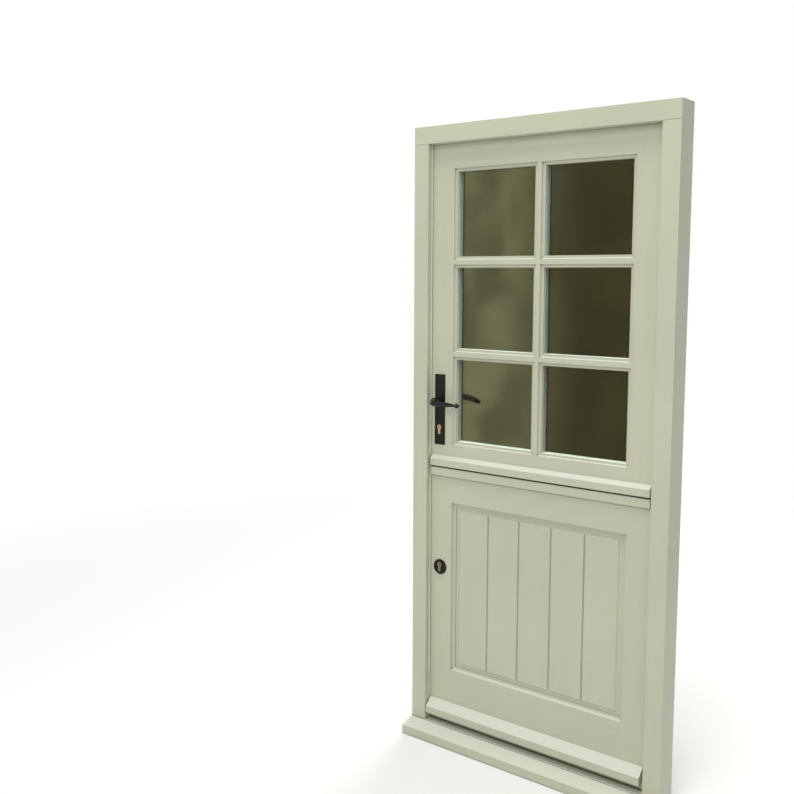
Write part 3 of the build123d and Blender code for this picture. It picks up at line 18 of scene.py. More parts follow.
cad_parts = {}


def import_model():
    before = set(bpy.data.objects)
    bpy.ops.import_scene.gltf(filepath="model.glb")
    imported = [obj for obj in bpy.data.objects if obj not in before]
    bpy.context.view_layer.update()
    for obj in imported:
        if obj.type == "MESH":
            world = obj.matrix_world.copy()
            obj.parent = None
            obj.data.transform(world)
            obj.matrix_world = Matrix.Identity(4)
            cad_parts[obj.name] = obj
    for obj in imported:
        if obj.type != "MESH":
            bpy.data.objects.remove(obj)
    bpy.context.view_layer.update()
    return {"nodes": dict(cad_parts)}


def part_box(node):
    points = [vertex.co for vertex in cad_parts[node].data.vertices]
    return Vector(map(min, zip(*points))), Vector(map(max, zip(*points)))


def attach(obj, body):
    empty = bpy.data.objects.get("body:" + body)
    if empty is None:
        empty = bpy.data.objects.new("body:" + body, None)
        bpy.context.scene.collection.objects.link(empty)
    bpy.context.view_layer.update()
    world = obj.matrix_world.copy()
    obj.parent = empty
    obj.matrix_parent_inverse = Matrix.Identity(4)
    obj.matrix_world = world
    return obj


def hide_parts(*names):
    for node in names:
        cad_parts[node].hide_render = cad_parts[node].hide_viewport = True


log = logging.getLogger("stable_door")

Colour = tuple[float, float, float]
Socket = bpy.types.NodeSocket
Value = Socket | float
Shade = Socket | Colour

MM = 0.001
IMAGE_SIDE_PX = 794
WHITE: Colour = (1.0, 1.0, 1.0)


class Grain(Enum):
    """The way the timber's grain runs, as how finely the pattern is packed on each axis."""

    UPRIGHT = (1.0, 1.0, 0.045)
    LEVEL = (0.045, 1.0, 1.0)


class Slot(Enum):
    """The record's glass and lock-steel material slots; no piece here takes its finish from them."""

    GLASS = "clear_glass"
    STEEL = "lock_steel"


class Kind(Enum):
    """The kinds of socket that the node groups have."""

    NUMBER = "NodeSocketFloat"
    VECTOR = "NodeSocketVector"
    MATERIAL = "NodeSocketMaterial"
    GEOMETRY = "NodeSocketGeometry"


@dataclass(frozen=True)
class Step:
    """A smooth step from one range of values into another."""

    low: float
    high: float
    out_low: float = 0.0
    out_high: float = 1.0

    def into(self, out_low: float, out_high: float) -> "Step":
        """The same step with other results."""
        return replace(self, out_low=out_low, out_high=out_high)


class Canvas:
    """A node tree being drawn: it adds nodes, sets their values and links them."""

    column_width: ClassVar[int] = 190
    # Where a mix of two colours has its factor, its colours and its result
    mix_inputs: ClassVar[tuple[int, int, int]] = (0, 6, 7)
    mix_output: ClassVar[int] = 2

    def __init__(self, tree: bpy.types.NodeTree) -> None:
        """Start on an empty tree.

        Args:
            tree: the shader or geometry node tree to draw in.
        """
        self.tree = tree
        tree.nodes.clear()
        self.column = 0

    def add(self, kind: str, inputs: dict | None = None, **settings: object) -> bpy.types.Node:
        """Add a node.

        Args:
            kind: the node's type name.
            inputs: values or sockets for its inputs, by name or by number.
            settings: the node's own properties.

        Returns:
            The new node.
        """
        node = self.tree.nodes.new(kind)
        node.location = (self.column * self.column_width, 0)
        self.column += 1
        for name, value in settings.items():
            setattr(node, name, value)
        for name, value in (inputs or {}).items():
            socket = node.inputs[name]
            if isinstance(value, Socket):
                self.tree.links.new(value, socket)
            else:
                socket.default_value = value
        return node

    def math(self, operation: str, first: Value, second: Value) -> Socket:
        """One step of arithmetic.

        Args:
            operation: what is done, such as MULTIPLY.
            first: the first number or socket.
            second: the second number or socket.

        Returns:
            The socket with the result.
        """
        node = self.add("ShaderNodeMath", {0: first, 1: second}, operation=operation)
        return node.outputs[0]

    def step(self, value: Socket, step: Step) -> Socket:
        """Map a value by a smooth step.

        Args:
            value: the value to map.
            step: the ranges that it is mapped from and into.

        Returns:
            The mapped value.
        """
        ranges = {"From Min": step.low, "From Max": step.high, "To Min": step.out_low,
                  "To Max": step.out_high}
        node = self.add("ShaderNodeMapRange", {"Value": value, **ranges},
                        interpolation_type="SMOOTHSTEP")
        return node.outputs["Result"]

    def blend(self, factor: Value, first: Shade, second: Shade) -> Socket:
        """A mix of two colours.

        Args:
            factor: how much of the second shows.
            first: a colour or socket.
            second: a colour or socket.

        Returns:
            The mixed colour.
        """
        shades = (shade if isinstance(shade, Socket) else (*shade, 1.0)
                  for shade in (first, second))
        node = self.add("ShaderNodeMix", data_type="RGBA", clamp_factor=True)
        for number, value in zip(self.mix_inputs, (factor, *shades)):
            if isinstance(value, Socket):
                self.tree.links.new(value, node.inputs[number])
            else:
                node.inputs[number].default_value = value
        return node.outputs[self.mix_output]

    def packed(self, vector: Socket, packing: Socket) -> Socket:
        """A vector with each of its coordinates multiplied by a packing."""
        node = self.add("ShaderNodeVectorMath", {0: vector, 1: packing}, operation="MULTIPLY")
        return node.outputs[0]

    def noise(self, vector: Socket, scale: Value, detail: float = 3.0, roughness: float = 0.5,
              distortion: float = 0.0) -> Socket:
        """A noise value from 0 to 1.

        Args:
            vector: where it is read.
            scale: how fine it is, in patches per metre.
            detail: how many finer layers it has.
            roughness: how strong those are.
            distortion: how much it is pulled about.

        Returns:
            The noise value.
        """
        node = self.add("ShaderNodeTexNoise", {"Vector": vector, "Scale": scale, "Detail": detail,
                                               "Roughness": roughness, "Distortion": distortion})
        return node.outputs[0]


def new_group(name: str, inputs: dict[str, Kind], outputs: dict[str, Kind],
              tree_type: str = "ShaderNodeTree"
              ) -> tuple[bpy.types.NodeTree, Canvas, dict[str, Socket]]:
    """Make an empty node group.

    Args:
        name: the group's name.
        inputs: each input's kind, by name.
        outputs: each output's kind, by name.
        tree_type: the type name of its tree.

    Returns:
        The group, its canvas, and its inputs as sockets to draw from.
    """
    tree = bpy.data.node_groups.new(name, tree_type)
    for way, sockets in (("INPUT", inputs), ("OUTPUT", outputs)):
        for label, kind in sockets.items():
            tree.interface.new_socket(label, in_out=way, socket_type=kind.value)
    canvas = Canvas(tree)
    start = canvas.add("NodeGroupInput")
    return tree, canvas, {label: start.outputs[label] for label in inputs}


@dataclass(frozen=True)
class GrainThroughPaint:
    """Timber grain that stands through a film of paint: fibres, broad bands and the film."""

    band_scale: float = 38.0
    film_scale: float = 900.0
    fibre_share: float = 0.55
    band_share: float = 0.6
    film_share: float = 0.22

    def build(self) -> bpy.types.NodeTree:
        """Make the group.

        Returns:
            The group, with a height and a tone as outputs.
        """
        tree, canvas, given = new_group(
            "grain_through_paint",
            {"Vector": Kind.VECTOR, "Packing": Kind.VECTOR, "Scale": Kind.NUMBER},
            {"Height": Kind.NUMBER, "Tone": Kind.NUMBER},
        )
        packed = canvas.packed(given["Vector"], given["Packing"])
        fibres = canvas.noise(packed, given["Scale"], detail=4.0, roughness=0.55, distortion=0.15)
        bands = canvas.noise(packed, self.band_scale, detail=2.0)
        film = canvas.noise(given["Vector"], self.film_scale, detail=1.0)
        height = canvas.math("ADD", canvas.math("MULTIPLY", fibres, self.fibre_share),
                             canvas.math("MULTIPLY", bands, self.band_share))
        height = canvas.math("ADD", height, canvas.math("MULTIPLY", film, self.film_share))
        canvas.add("NodeGroupOutput", {"Height": height, "Tone": bands})
        return tree


@dataclass(frozen=True)
class WeatherAndPaintedShade:
    """Weather's dust on upward faces and splash low down, and painted shade in inner corners."""

    patch_scale: float = 26.0
    upward_faces: Step = Step(0.15, 0.85)
    dusty_patches: Step = Step(0.2, 0.8, 0.8, 1.0)
    splash_fade: Step = Step(1.0, 0.0)
    splashed_patches: Step = Step(0.35, 0.8)
    painted_shade_corners: Step = Step(0.93, 0.5)
    painted_shade_samples: int = 6

    def build(self) -> bpy.types.NodeTree:
        """Make the group.

        Returns:
            The group, with masks of dust, of splash and of painted shade in inner corners as
            outputs.
        """
        tree, canvas, given = new_group(
            "weather",
            {"Vector": Kind.VECTOR, "Dust": Kind.NUMBER, "Splash Height": Kind.NUMBER,
             "Painted Shade Reach": Kind.NUMBER},
            {"Dust": Kind.NUMBER, "Splash": Kind.NUMBER, "Painted Shade": Kind.NUMBER},
        )
        normal = canvas.add("ShaderNodeNewGeometry").outputs["Normal"]
        up = canvas.add("ShaderNodeSeparateXYZ", {0: normal}).outputs["Z"]
        level = canvas.add("ShaderNodeSeparateXYZ", {0: given["Vector"]}).outputs["Z"]
        patches = canvas.noise(given["Vector"], self.patch_scale, detail=4.0, roughness=0.6)
        lying = canvas.math("MULTIPLY", canvas.step(up, self.upward_faces),
                            canvas.step(patches, self.dusty_patches))
        dust = canvas.math("MULTIPLY", lying, given["Dust"])
        share = canvas.math("DIVIDE", level, given["Splash Height"])
        splash = canvas.math("MULTIPLY", canvas.step(share, self.splash_fade),
                             canvas.step(patches, self.splashed_patches))
        # Painted shade: ambient occlusion finds the inner corners, whose colour is then darkened.
        openness = canvas.add("ShaderNodeAmbientOcclusion", {"Distance": given["Painted Shade Reach"]},
                              samples=self.painted_shade_samples).outputs["AO"]
        painted_shade = canvas.step(openness, self.painted_shade_corners)
        canvas.add("NodeGroupOutput", {"Dust": dust, "Splash": splash, "Painted Shade": painted_shade})
        return tree


@dataclass(frozen=True)
class FineTexture:
    """The fine unevenness of a coated, moulded or polished surface, and its broader mottle."""

    mottle_scale: float = 60.0

    def build(self) -> bpy.types.NodeTree:
        """Make the group.

        Returns:
            The group, with a height and a mottle as outputs.
        """
        tree, canvas, given = new_group(
            "fine_texture",
            {"Vector": Kind.VECTOR, "Packing": Kind.VECTOR, "Scale": Kind.NUMBER},
            {"Height": Kind.NUMBER, "Mottle": Kind.NUMBER},
        )
        packed = canvas.packed(given["Vector"], given["Packing"])
        fine = canvas.noise(packed, given["Scale"], roughness=0.6)
        mottle = canvas.noise(packed, self.mottle_scale, roughness=0.55)
        canvas.add("NodeGroupOutput", {"Height": fine, "Mottle": mottle})
        return tree


class Effects:
    """The shader groups that several finishes share, each built once."""

    def __init__(self) -> None:
        """Build every group."""
        self.grain = GrainThroughPaint().build()
        self.weather = WeatherAndPaintedShade().build()
        self.texture = FineTexture().build()


def shaded(colour: Colour, change: float) -> Colour:
    """A colour made darker or lighter by a factor, up to white."""
    return tuple(min(1.0, channel * change) for channel in colour)


@dataclass(frozen=True)
class Finish(ABC):
    """What every finish has: its name, its colour and how rough it is."""

    name: str
    colour: Colour
    roughness: float = 0.5

    def start(self) -> tuple[bpy.types.Material, Canvas, Socket]:
        """Open a material for the finish.

        Returns:
            The material, its canvas and the object coordinates to read patterns at.
        """
        material = bpy.data.materials.new(self.name)
        material.use_nodes = True
        material.diffuse_color = (*self.colour, 1.0)
        canvas = Canvas(material.node_tree)
        place = canvas.add("ShaderNodeTexCoord").outputs["Object"]
        return material, canvas, place

    @abstractmethod
    def build(self, effects: Effects) -> bpy.types.Material:
        """Make the material.

        Args:
            effects: the shared shader groups.

        Returns:
            The material.
        """


@dataclass(frozen=True)
class Solid(Finish):
    """A finish that stops light, with rounded edges and a fine relief."""

    metallic: float = 0.0
    edge_radius: float = 0.6 * MM
    relief: float = 0.05 * MM
    shine: float = 0.5
    painted_reflection_tint: Colour = WHITE
    edge_samples: ClassVar[int] = 4

    def close(self, canvas: Canvas, colour: Socket, rough: Socket, height: Socket) -> None:
        """End the material in its shader.

        Args:
            canvas: the material's canvas.
            colour: its colour.
            rough: its roughness.
            height: the relief's height, from 0 to 1.
        """
        rounded = canvas.add("ShaderNodeBevel", {"Radius": self.edge_radius},
                             samples=self.edge_samples)
        eased = canvas.add("ShaderNodeBump", {
            "Strength": 1.0, "Distance": self.relief, "Height": height,
            "Normal": rounded.outputs["Normal"],
        })
        shader = canvas.add("ShaderNodeBsdfPrincipled", {
            "Base Color": colour,
            "Metallic": self.metallic,
            "Roughness": rough,
            "Normal": eased.outputs["Normal"],
            "Specular IOR Level": self.shine,
            "Specular Tint": (*self.painted_reflection_tint, 1.0),
        })
        canvas.add("ShaderNodeOutputMaterial", {"Surface": shader.outputs[0]})


@dataclass(frozen=True)
class Paint(Solid):
    """Sprayed satin paint, timber grain just showing, a little dusty where level, shade painted in
    corners.
    """

    grain: Grain = Grain.UPRIGHT
    grain_scale: float = 420.0
    relief: float = 0.14 * MM
    shine: float = 0.45
    drift_scale: float = 2.2
    band_share: float = 0.5
    tones: Step = Step(0.45, 1.05)
    darkest: float = 0.955
    lightest: float = 1.03
    bands: Step = Step(0.3, 0.7)
    smoother: float = 0.05
    rougher: float = 0.06
    dust_strength: float = 0.42
    dust_roughness: float = 0.4
    dust_colour: Colour = (0.74, 0.74, 0.72)
    splash_height: float = 0.22
    splash_strength: float = 0.16
    splash_colour: Colour = (0.40, 0.38, 0.27)
    # Painted shade: how far into inner corners, how strongly and in what dark brown the colour
    # darkens.
    painted_shade_reach: float = 9.0 * MM
    painted_shade_strength: float = 0.52
    painted_shade_colour: Colour = (0.1, 0.085, 0.045)

    def build(self, effects: Effects) -> bpy.types.Material:
        """Make the material.

        Args:
            effects: the shared shader groups.

        Returns:
            The material.
        """
        material, canvas, place = self.start()
        grain = canvas.add("ShaderNodeGroup", {
            "Vector": place, "Packing": self.grain.value, "Scale": self.grain_scale,
        }, node_tree=effects.grain).outputs
        weather = canvas.add("ShaderNodeGroup", {
            "Vector": place, "Dust": self.dust_strength, "Splash Height": self.splash_height,
            "Painted Shade Reach": self.painted_shade_reach,
        }, node_tree=effects.weather).outputs
        drift = canvas.noise(place, self.drift_scale, detail=2.0)
        mixed = canvas.math("ADD", drift, canvas.math("MULTIPLY", grain["Tone"], self.band_share))
        colour = canvas.blend(canvas.step(mixed, self.tones), shaded(self.colour, self.darkest),
                              shaded(self.colour, self.lightest))
        colour = canvas.blend(weather["Dust"], colour, self.dust_colour)
        splash = canvas.math("MULTIPLY", weather["Splash"], self.splash_strength)
        colour = canvas.blend(splash, colour, self.splash_colour)
        # Painted shade: the colour darkens towards dark brown in the inner corners.
        painted_shade = canvas.math("MULTIPLY", weather["Painted Shade"], self.painted_shade_strength)
        colour = canvas.blend(painted_shade, colour, self.painted_shade_colour)
        rough = canvas.step(grain["Tone"], self.bands.into(self.roughness - self.smoother,
                                                           self.roughness + self.rougher))
        dusty = canvas.math("MULTIPLY", weather["Dust"], self.dust_roughness)
        rough = canvas.math("ADD", rough, dusty)
        self.close(canvas, colour, rough, grain["Height"])
        return material


@dataclass(frozen=True)
class Coated(Solid):
    """A coated, moulded or cast surface with a fine even texture."""

    texture_scale: float = 1400.0
    packing: tuple[float, float, float] = (1.0, 1.0, 1.0)
    contrast: float = 0.2
    tones: Step = Step(0.3, 0.7)
    spread: float = 0.08
    glosses: Step = Step(0.25, 0.75)

    def build(self, effects: Effects) -> bpy.types.Material:
        """Make the material.

        Args:
            effects: the shared shader groups.

        Returns:
            The material.
        """
        material, canvas, place = self.start()
        texture = canvas.add("ShaderNodeGroup", {
            "Vector": place, "Packing": self.packing, "Scale": self.texture_scale,
        }, node_tree=effects.texture).outputs
        mottle = canvas.step(texture["Mottle"], self.tones)
        colour = canvas.blend(mottle, shaded(self.colour, 1 - self.contrast),
                              shaded(self.colour, 1 + self.contrast))
        rough = canvas.step(texture["Mottle"], self.glosses.into(self.roughness - self.spread,
                                                                 self.roughness + self.spread))
        self.close(canvas, colour, rough, texture["Height"])
        return material


@dataclass(frozen=True)
class Sheet(Finish):
    """Float glass, its tint given as what one sheet lets through; lamps shine in through it.

    Painted reflection: the tint turns to another colour across the middle of the door, in clouds.
    """

    painted_reflection_far_colour: Colour = WHITE
    painted_reflection_tint: Colour = WHITE
    lamp_colour: Colour = (0.9, 0.92, 0.9)
    patch_scale: float = 5.0
    packing: tuple[float, float, float] = (1.0, 1.0, 0.7)
    contrast: float = 0.05
    painted_reflection_clouds: Step = Step(0.36, 0.64)
    painted_reflection_middle: float = 0.5
    turn_half_width: float = 0.12
    smears: Step = Step(0.45, 0.8)
    smear_roughness: float = 0.012
    refraction: float = 1.5

    def build(self, effects: Effects) -> bpy.types.Material:
        """Make the material.

        Args:
            effects: the shared shader groups.

        Returns:
            The material.
        """
        material, canvas, place = self.start()
        texture = canvas.add("ShaderNodeGroup", {
            "Vector": place, "Packing": self.packing, "Scale": self.patch_scale,
        }, node_tree=effects.texture).outputs
        painted_reflection_cloud = canvas.step(texture["Height"], self.painted_reflection_clouds)
        film = canvas.step(texture["Mottle"], self.smears.into(
            self.roughness, self.roughness + self.smear_roughness))
        turn = self.turned(canvas, place, painted_reflection_cloud)
        # Painted reflection: darker and lighter copies of the tint, each turned across the door.
        dark, light = (
            canvas.blend(turn, shaded(self.colour, change), shaded(self.painted_reflection_far_colour, change))
            for change in (1 - self.contrast, 1 + self.contrast)
        )
        shader = canvas.add("ShaderNodeBsdfPrincipled", {
            "Base Color": canvas.blend(painted_reflection_cloud, dark, light),
            "Roughness": film,
            "IOR": self.refraction,
            "Transmission Weight": 1.0,
            "Specular Tint": (*self.painted_reflection_tint, 1.0),
        })
        clear = canvas.add("ShaderNodeBsdfTransparent", {"Color": (*self.lamp_colour, 1.0)})
        lamp_ray = canvas.add("ShaderNodeLightPath").outputs["Is Shadow Ray"]
        mix = canvas.add("ShaderNodeMixShader",
                         {0: lamp_ray, 1: shader.outputs[0], 2: clear.outputs[0]})
        canvas.add("ShaderNodeOutputMaterial", {"Surface": mix.outputs[0]})
        return material

    def turned(self, canvas: Canvas, place: Socket, painted_reflection_cloud: Socket) -> Socket:
        """How far the tint has turned to its other colour, along a cloudy line.

        Args:
            canvas: the material's canvas.
            place: the object coordinates.
            painted_reflection_cloud: the painted reflection's clouds, from 0 to 1.

        Returns:
            The share of the other colour.
        """
        across = canvas.add("ShaderNodeSeparateXYZ", {0: place}).outputs["X"]
        drift = canvas.math("MULTIPLY", canvas.math("SUBTRACT", painted_reflection_cloud, self.painted_reflection_middle),
                            self.turn_half_width)
        return canvas.step(canvas.math("ADD", across, drift),
                           Step(-self.turn_half_width, self.turn_half_width))


SAGE: Colour = (0.525, 0.534, 0.4)
PAINT_UPRIGHT = Paint("sage_paint_upright", SAGE, 0.42, grain=Grain.UPRIGHT)
PAINT_LEVEL = Paint("sage_paint_level", SAGE, 0.42, grain=Grain.LEVEL)
# Painted reflection: both irons' reflections are tinted green, standing in for green surroundings.
IRON = Coated("satin_black_iron", (0.0065, 0.0075, 0.0065), 0.32, relief=0.04 * MM, shine=0.2,
              painted_reflection_tint=(0.85, 1.0, 0.72))
GLOSSY_IRON = Coated("gloss_black_iron", (0.005, 0.006, 0.006), 0.17, relief=0.012 * MM,
                     shine=0.32, painted_reflection_tint=(0.85, 0.95, 0.9), spread=0.04)
BRASS = Coated("cylinder_brass", (0.5, 0.33, 0.23), 0.33, metallic=1.0, edge_radius=0.3 * MM,
               relief=0.01 * MM, contrast=0.12)
# Painted shade: a darker copy of the same brass for the lower cylinder, standing in for the dimmer
# light on it.
SHADED_BRASS = Coated("shaded_cylinder_brass", (0.25, 0.2, 0.125), 0.34, metallic=1.0,
                    edge_radius=0.3 * MM, relief=0.01 * MM, contrast=0.15)
STEEL = Coated("brushed_steel", (0.5, 0.5, 0.48), 0.34, metallic=1.0, edge_radius=0.3 * MM,
               relief=0.015 * MM, packing=(1.0, 1.0, 0.05), contrast=0.12)
SEAL = Coated("pale_seal", (0.93, 0.93, 0.88), 0.6, edge_radius=0.8 * MM, texture_scale=700.0,
              contrast=0.04)
TAPE = Coated("glazing_tape", (0.78, 0.86, 0.84), 0.6, relief=0.04 * MM, contrast=0.05)
SPACER = Coated("spacer_aluminium", (0.42, 0.49, 0.44), 0.5, metallic=0.25, relief=0.02 * MM,
                contrast=0.08)
# Painted reflection: both sheets' dim, yellowed reflection tints, their clouds and their turn across
# the door.
FRONT_SHEET = Sheet("front_sheet", (0.9, 0.94, 0.9), 0.0, painted_reflection_far_colour=(0.9, 0.93, 0.88),
                    painted_reflection_tint=(0.22, 0.22, 0.14))
# Painted shade: the rear sheet's dark olive tint stands in for the dim room behind, darker towards
# the hinge side.
REAR_SHEET_PAINTED_SHADE = Sheet("rear_sheet_painted_shade", (0.106, 0.101, 0.047), 0.0, painted_reflection_far_colour=(0.024, 0.018, 0.003),
                   painted_reflection_tint=(0.2, 0.2, 0.12), contrast=0.3)


class Finishes:
    """Every finish as a material, built once."""

    def __init__(self, effects: Effects) -> None:
        """Build the materials.

        Args:
            effects: the shared shader groups.
        """
        finishes = (PAINT_UPRIGHT, PAINT_LEVEL, IRON, GLOSSY_IRON, BRASS, SHADED_BRASS, STEEL, SEAL,
                    TAPE, SPACER, FRONT_SHEET, REAR_SHEET_PAINTED_SHADE)
        self.materials = {finish: finish.build(effects) for finish in finishes}

    def of(self, finish: Finish) -> bpy.types.Material:
        """The material of a finish."""
        return self.materials[finish]

    def dress(self, piece: bpy.types.Object, finish: Finish) -> None:
        """Give every face of a piece one finish.

        Args:
            piece: the piece or CAD node.
            finish: its finish.
        """
        if not piece.material_slots:
            piece.data.materials.append(self.of(finish))
        for slot in piece.material_slots:
            slot.link = "OBJECT"
            slot.material = self.of(finish)


class Dressed(ABC):
    """A sub-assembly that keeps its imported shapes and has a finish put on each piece."""

    @property
    @abstractmethod
    def coats(self) -> dict[Finish, tuple[str, ...]]:
        """The pieces that take each finish."""

    def dress(self, nodes: dict[str, bpy.types.Object], finishes: Finishes) -> None:
        """Finish every piece.

        Args:
            nodes: the CAD nodes by name.
            finishes: the materials.
        """
        for finish, names in self.coats.items():
            for name in names:
                finishes.dress(nodes[name], finish)
                log.info("finished %s in %s", name, finish.name)


@dataclass
class Timber(Dressed):
    """The frame's and the leaves' timber, painted with the grain along each member."""

    upright: tuple[str, ...] = (
        "lock_jamb", "hinge_jamb", "upper_lock_stile", "upper_hinge_stile",
        "vertical_glazing_bar", "lower_lock_stile", "lower_hinge_stile", "lower_panel",
        "glazing_beads",
    )
    level: tuple[str, ...] = (
        "sill", "head", "upper_top_rail", "upper_bottom_rail", "low_glazing_bar",
        "high_glazing_bar", "upper_weather_bar", "lower_top_rail", "lower_bottom_rail",
        "meeting_band", "lower_weather_bar",
    )

    @property
    def coats(self) -> dict[Finish, tuple[str, ...]]:
        """The members that take each paint."""
        return {PAINT_UPRIGHT: self.upright, PAINT_LEVEL: self.level}


@dataclass
class Metalwork(Dressed):
    """Handles, plates, locks, hinges and cylinders."""

    iron: tuple[str, ...] = (
        "outer_handle_plate", "inner_handle_plate", "outer_escutcheon", "inner_escutcheon",
        "connecting_bolt_housing", "connecting_bolt", "connecting_bolt_keep",
    )
    glossy_iron: tuple[str, ...] = ("outer_lever", "inner_lever")
    brass: tuple[str, ...] = ("upper_cylinder_body", "upper_plug")
    shaded_brass: tuple[str, ...] = ("lower_cylinder_body", "lower_plug")
    steel: tuple[str, ...] = (
        "upper_keep", "lower_keep", "upper_hinge_frame_flaps", "lower_hinge_frame_flaps",
        "hinge_pins", "upper_hinge_leaf_flaps", "lower_hinge_leaf_flaps", "upper_lock_case",
        "lower_lock_case", "spindle", "follower", "latch", "upper_deadbolt", "lower_deadbolt",
    )

    @property
    def coats(self) -> dict[Finish, tuple[str, ...]]:
        """The pieces of each metal."""
        return {IRON: self.iron, GLOSSY_IRON: self.glossy_iron, BRASS: self.brass,
                SHADED_BRASS: self.shaded_brass, STEEL: self.steel}


@dataclass
class Seals(Dressed):
    """The seals round the frame and between the leaves, and the glass units' tape and spacers."""

    soft: tuple[str, ...] = ("weather_seal", "meeting_seal")
    tapes: tuple[str, ...] = ("glazing_tapes",)
    spacers: tuple[str, ...] = ("glass_spacers",)

    @property
    def coats(self) -> dict[Finish, tuple[str, ...]]:
        """The pieces of each kind."""
        return {SEAL: self.soft, TAPE: self.tapes, SPACER: self.spacers}


def plain_mesh(name: str, shape: bmesh.types.BMesh) -> bpy.types.Mesh:
    """Turn a shape into a mesh, and free the shape.

    Args:
        name: the mesh's name.
        shape: the shape.

    Returns:
        The mesh.
    """
    data = bpy.data.meshes.new(name)
    shape.to_mesh(data)
    shape.free()
    return data


def put_in_scene(name: str, data: bpy.types.ID) -> bpy.types.Object:
    """Make an object in the scene.

    Args:
        name: its name.
        data: the mesh, lamp or camera that it holds.

    Returns:
        The object.
    """
    made = bpy.data.objects.new(name, data)
    bpy.context.scene.collection.objects.link(made)
    return made


@dataclass(frozen=True)
class Screw:
    """One kind of screw, by its sizes in metres."""

    head_radius: float
    under_head_radius: float
    head_depth: float
    shank_radius: float
    length: float
    sockets: ClassVar[tuple[str, ...]] = (
        "Head Radius", "Under Head Radius", "Head Depth", "Shank Radius", "Length",
    )

    @property
    def inputs(self) -> dict[str, float]:
        """The sizes under the names that the screw's node tree gives them."""
        return dict(zip(self.sockets, astuple(self)))


